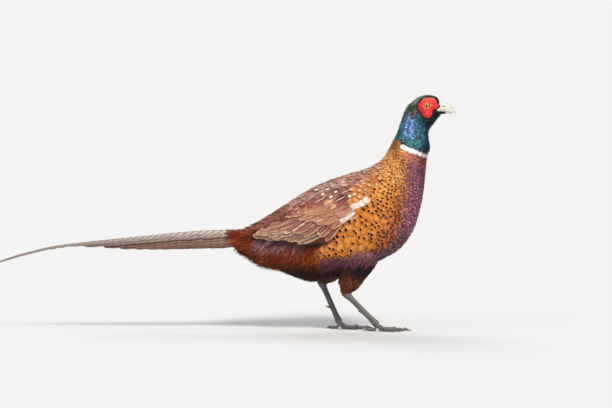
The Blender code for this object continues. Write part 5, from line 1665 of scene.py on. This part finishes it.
def make_bill():
    """The upper half of the bill, with its nostrils under a soft flap, and the lower half, which fits inside it. Each
    row goes from one edge over the middle to the other: half width times the cosine of a turn, and height by its
    sine to a power. Slit and flap are bells about the nostril."""
    made = bill_finish()
    share = np.linspace(0, 1, 110)
    top, edge = smoothly(CULMEN, share), smoothly(TOMIUM, share)
    half = smoothly(BILL_HALF_WIDTH, share)
    turn = np.linspace(0, math.pi, 96)[None, :]
    rise = np.sin(turn) ** 0.85
    x = edge[:, :1] + (top[:, :1] - edge[:, :1]) * rise
    z = edge[:, 1:] + (top[:, 1:] - edge[:, 1:]) * rise
    along, up = (x - NOSTRIL[0]) / 2.6, (z - NOSTRIL[1] - 0.12 * (x - NOSTRIL[0])) / 0.9
    slit = -1.6 * np.exp(-(along**2) - up**2)
    flap = 0.95 * np.exp(-((along + 0.35) ** 2) - ((up - 1.7) / 0.9) ** 2)
    groove = -0.25 * np.exp(-(((z - edge[:, 1:] - 1.1) / 0.5) ** 2))
    out = np.cos(turn) * half
    out = out + np.sign(np.cos(turn)) * (slit + flap + groove) * smooth(0.1, 0.4, np.abs(np.cos(turn)))
    outer = np.stack([x, out, z], -1)
    bill_half("bill_upper", outer, 0.86, lambda z: edge[:, 1:] + 0.35 + 0.25 * (z - edge[:, 1:]), made)
    share = np.linspace(0, 1, 60)
    low, half = smoothly(LOWER_EDGE, share), smoothly(LOWER_HALF_WIDTH, share)
    seam = np.interp(low[:, 0], edge[:, 0], edge[:, 1])[:, None] - 0.3
    z = seam + (low[:, 1:] - seam) * np.sin(turn) ** 0.7
    outer = np.stack([low[:, :1] + 0 * z, np.cos(turn) * half, z], -1)
    bill_half("bill_lower", outer, 0.9, lambda z: seam - 0.2 + 0 * z, made)
    for side in SIDES.items():
        make_gape(side, made)


# Floor, light and camera


def make_stage():
    """A plain pale floor under everything, soft studio lights, and the camera at the photograph's angle."""
    # Matt emulsion paint on smooth board: an even pale grey without a highlight
    pale, _ = finish("pale_studio_floor", Base_Color=rgb("d8d8d8"), Roughness=0.9)
    mesh = bpy.data.meshes.new("floor")
    work = bmesh.new()
    bmesh.ops.create_grid(work, x_segments=2, y_segments=2, size=40)
    work.to_mesh(mesh)
    work.free()
    mesh.materials.append(pale)
    floor = bpy.data.objects.new("floor", mesh)
    bpy.context.scene.collection.objects.link(floor)
    floor.location = (0, 0, -0.0002)
    world = bpy.data.worlds.new("soft_room")
    world.use_nodes = True
    colour, strength = world.node_tree.nodes["Background"].inputs[:2]
    colour.default_value, strength.default_value = (*rgb("e4e8ee"), 1), 0.5
    bpy.context.scene.world = world
    lights = (
        ("key", (0.75, -1.5, 1.7), 18, 2.8, "fff9f0"),
        ("fill", (-1.5, -1.4, 0.9), 50, 0.5, "eef3ff"),
        ("rim", (-0.4, 1.7, 1.5), 30, 1.1, "ffffff"),
    )
    for name, place, spread, power, colour in lights:
        lamp = bpy.data.lights.new(name, "SUN")
        lamp.angle = math.radians(spread)
        lamp.energy = power
        lamp.color = rgb(colour)
        light = bpy.data.objects.new(name, lamp)
        light.rotation_euler = (-Vector(place)).to_track_quat("-Z", "Y").to_euler()
        bpy.context.scene.collection.objects.link(light)
    aim, far, down = Vector((0.127, 0, 0.1945)), 8.0, math.radians(3)
    camera = bpy.data.objects.new("camera", bpy.data.cameras.new("camera"))
    camera.data.sensor_width = 36
    camera.data.lens = camera.data.sensor_width * far / PHOTO_WIDTH
    camera.data.clip_end = 100
    camera.location = aim + far * Vector((0, -math.cos(down), math.sin(down)))
    camera.rotation_euler = (aim - camera.location).to_track_quat("-Z", "Y").to_euler()
    bpy.context.scene.collection.objects.link(camera)
    bpy.context.scene.camera = camera
    bpy.context.scene.view_settings.view_transform = "Standard"


# The bird, put together


def dress_body():
    """The feathers of head, neck, body, rump and thighs over the skin: two scatters of roots, one up to the neck's end
    and one from there, shared out between the pieces of the coat by station and by the lines between colours."""
    chance = np.random.default_rng(11)
    # Keratin over thin layers of melanin, which mirror blue and green: a metallic gloss on the neck
    gloss = plumage("iridescent_neck_feathers", 4.0, 0.00006, 0.34, Metallic=0.6)
    # Fewer such layers: a weaker and broader copper sheen on the breast
    copper = plumage("copper_breast_feathers", 5.0, 0.0001, 0.45, Metallic=0.25, Specular_IOR_Level=0.3)
    # Keratin and melanin without layers: matt vanes with a dull shine
    matt = plumage("body_feathers", 7.0, 0.00012, 0.62, Specular_IOR_Level=0.22)
    # Barbs without hooks, which part like hair: soft, with hardly any shine
    loose = plumage("loose_hairlike_feathers", 3.0, 0.0001, 0.55, Specular_IOR_Level=0.15)
    u, t = scatter(coat_spacing, 0.1, NECK_END, chance)
    head = make_tract(u, t, chance, head_colours)
    lay_feathers("coat_head", gloss, "head", part_of(head, u < HEAD_END), 5, 3, 0.55)
    lay_feathers("coat_neck", gloss, "neck", part_of(head, u >= HEAD_END), 5, 3, 0.55)
    raise_ear_tufts(gloss, chance)
    cover_chin(gloss)
    u, t = scatter(coat_spacing, NECK_END - 0.1, COAT_END, chance)
    body = make_tract(u, t, chance, body_colours)
    tip = body_point(u + body["length"] / 18, t)
    body = part_of(body, tip[:, 0] > np.interp(tip[:, 2], (124, 139, 152), (17, 15, -2)))
    u, t = body["u"], body["t"]
    front = breast_share(body_point(u, t)) > 0.5
    rear = (u > 19) | (rear_share(body_point(u, t)) > 0.5)
    lay_feathers("coat_breast", copper, "body", part_of(body, front), 7, 5, 0.5)
    lay_feathers("coat_flank", matt, "body", part_of(body, ~front & ~rear), 8, 5, 0.5)
    lay_feathers("coat_rump", matt, "rump", part_of(body, ~front & rear), 8, 5, 0.4)
    hang_strands(loose, chance)
    for name in SIDES:
        dress_thigh(name, loose, np.random.default_rng(17))


make_stage()
make_skin()
dress_body()
for side in SIDES.items():
    wing_feathers(side, np.random.default_rng(5))
tail_feathers(np.random.default_rng(9))
for side in SIDES.items():
    make_leg(side[0])
    make_eye(side)
    make_wattle(side)
make_bill()
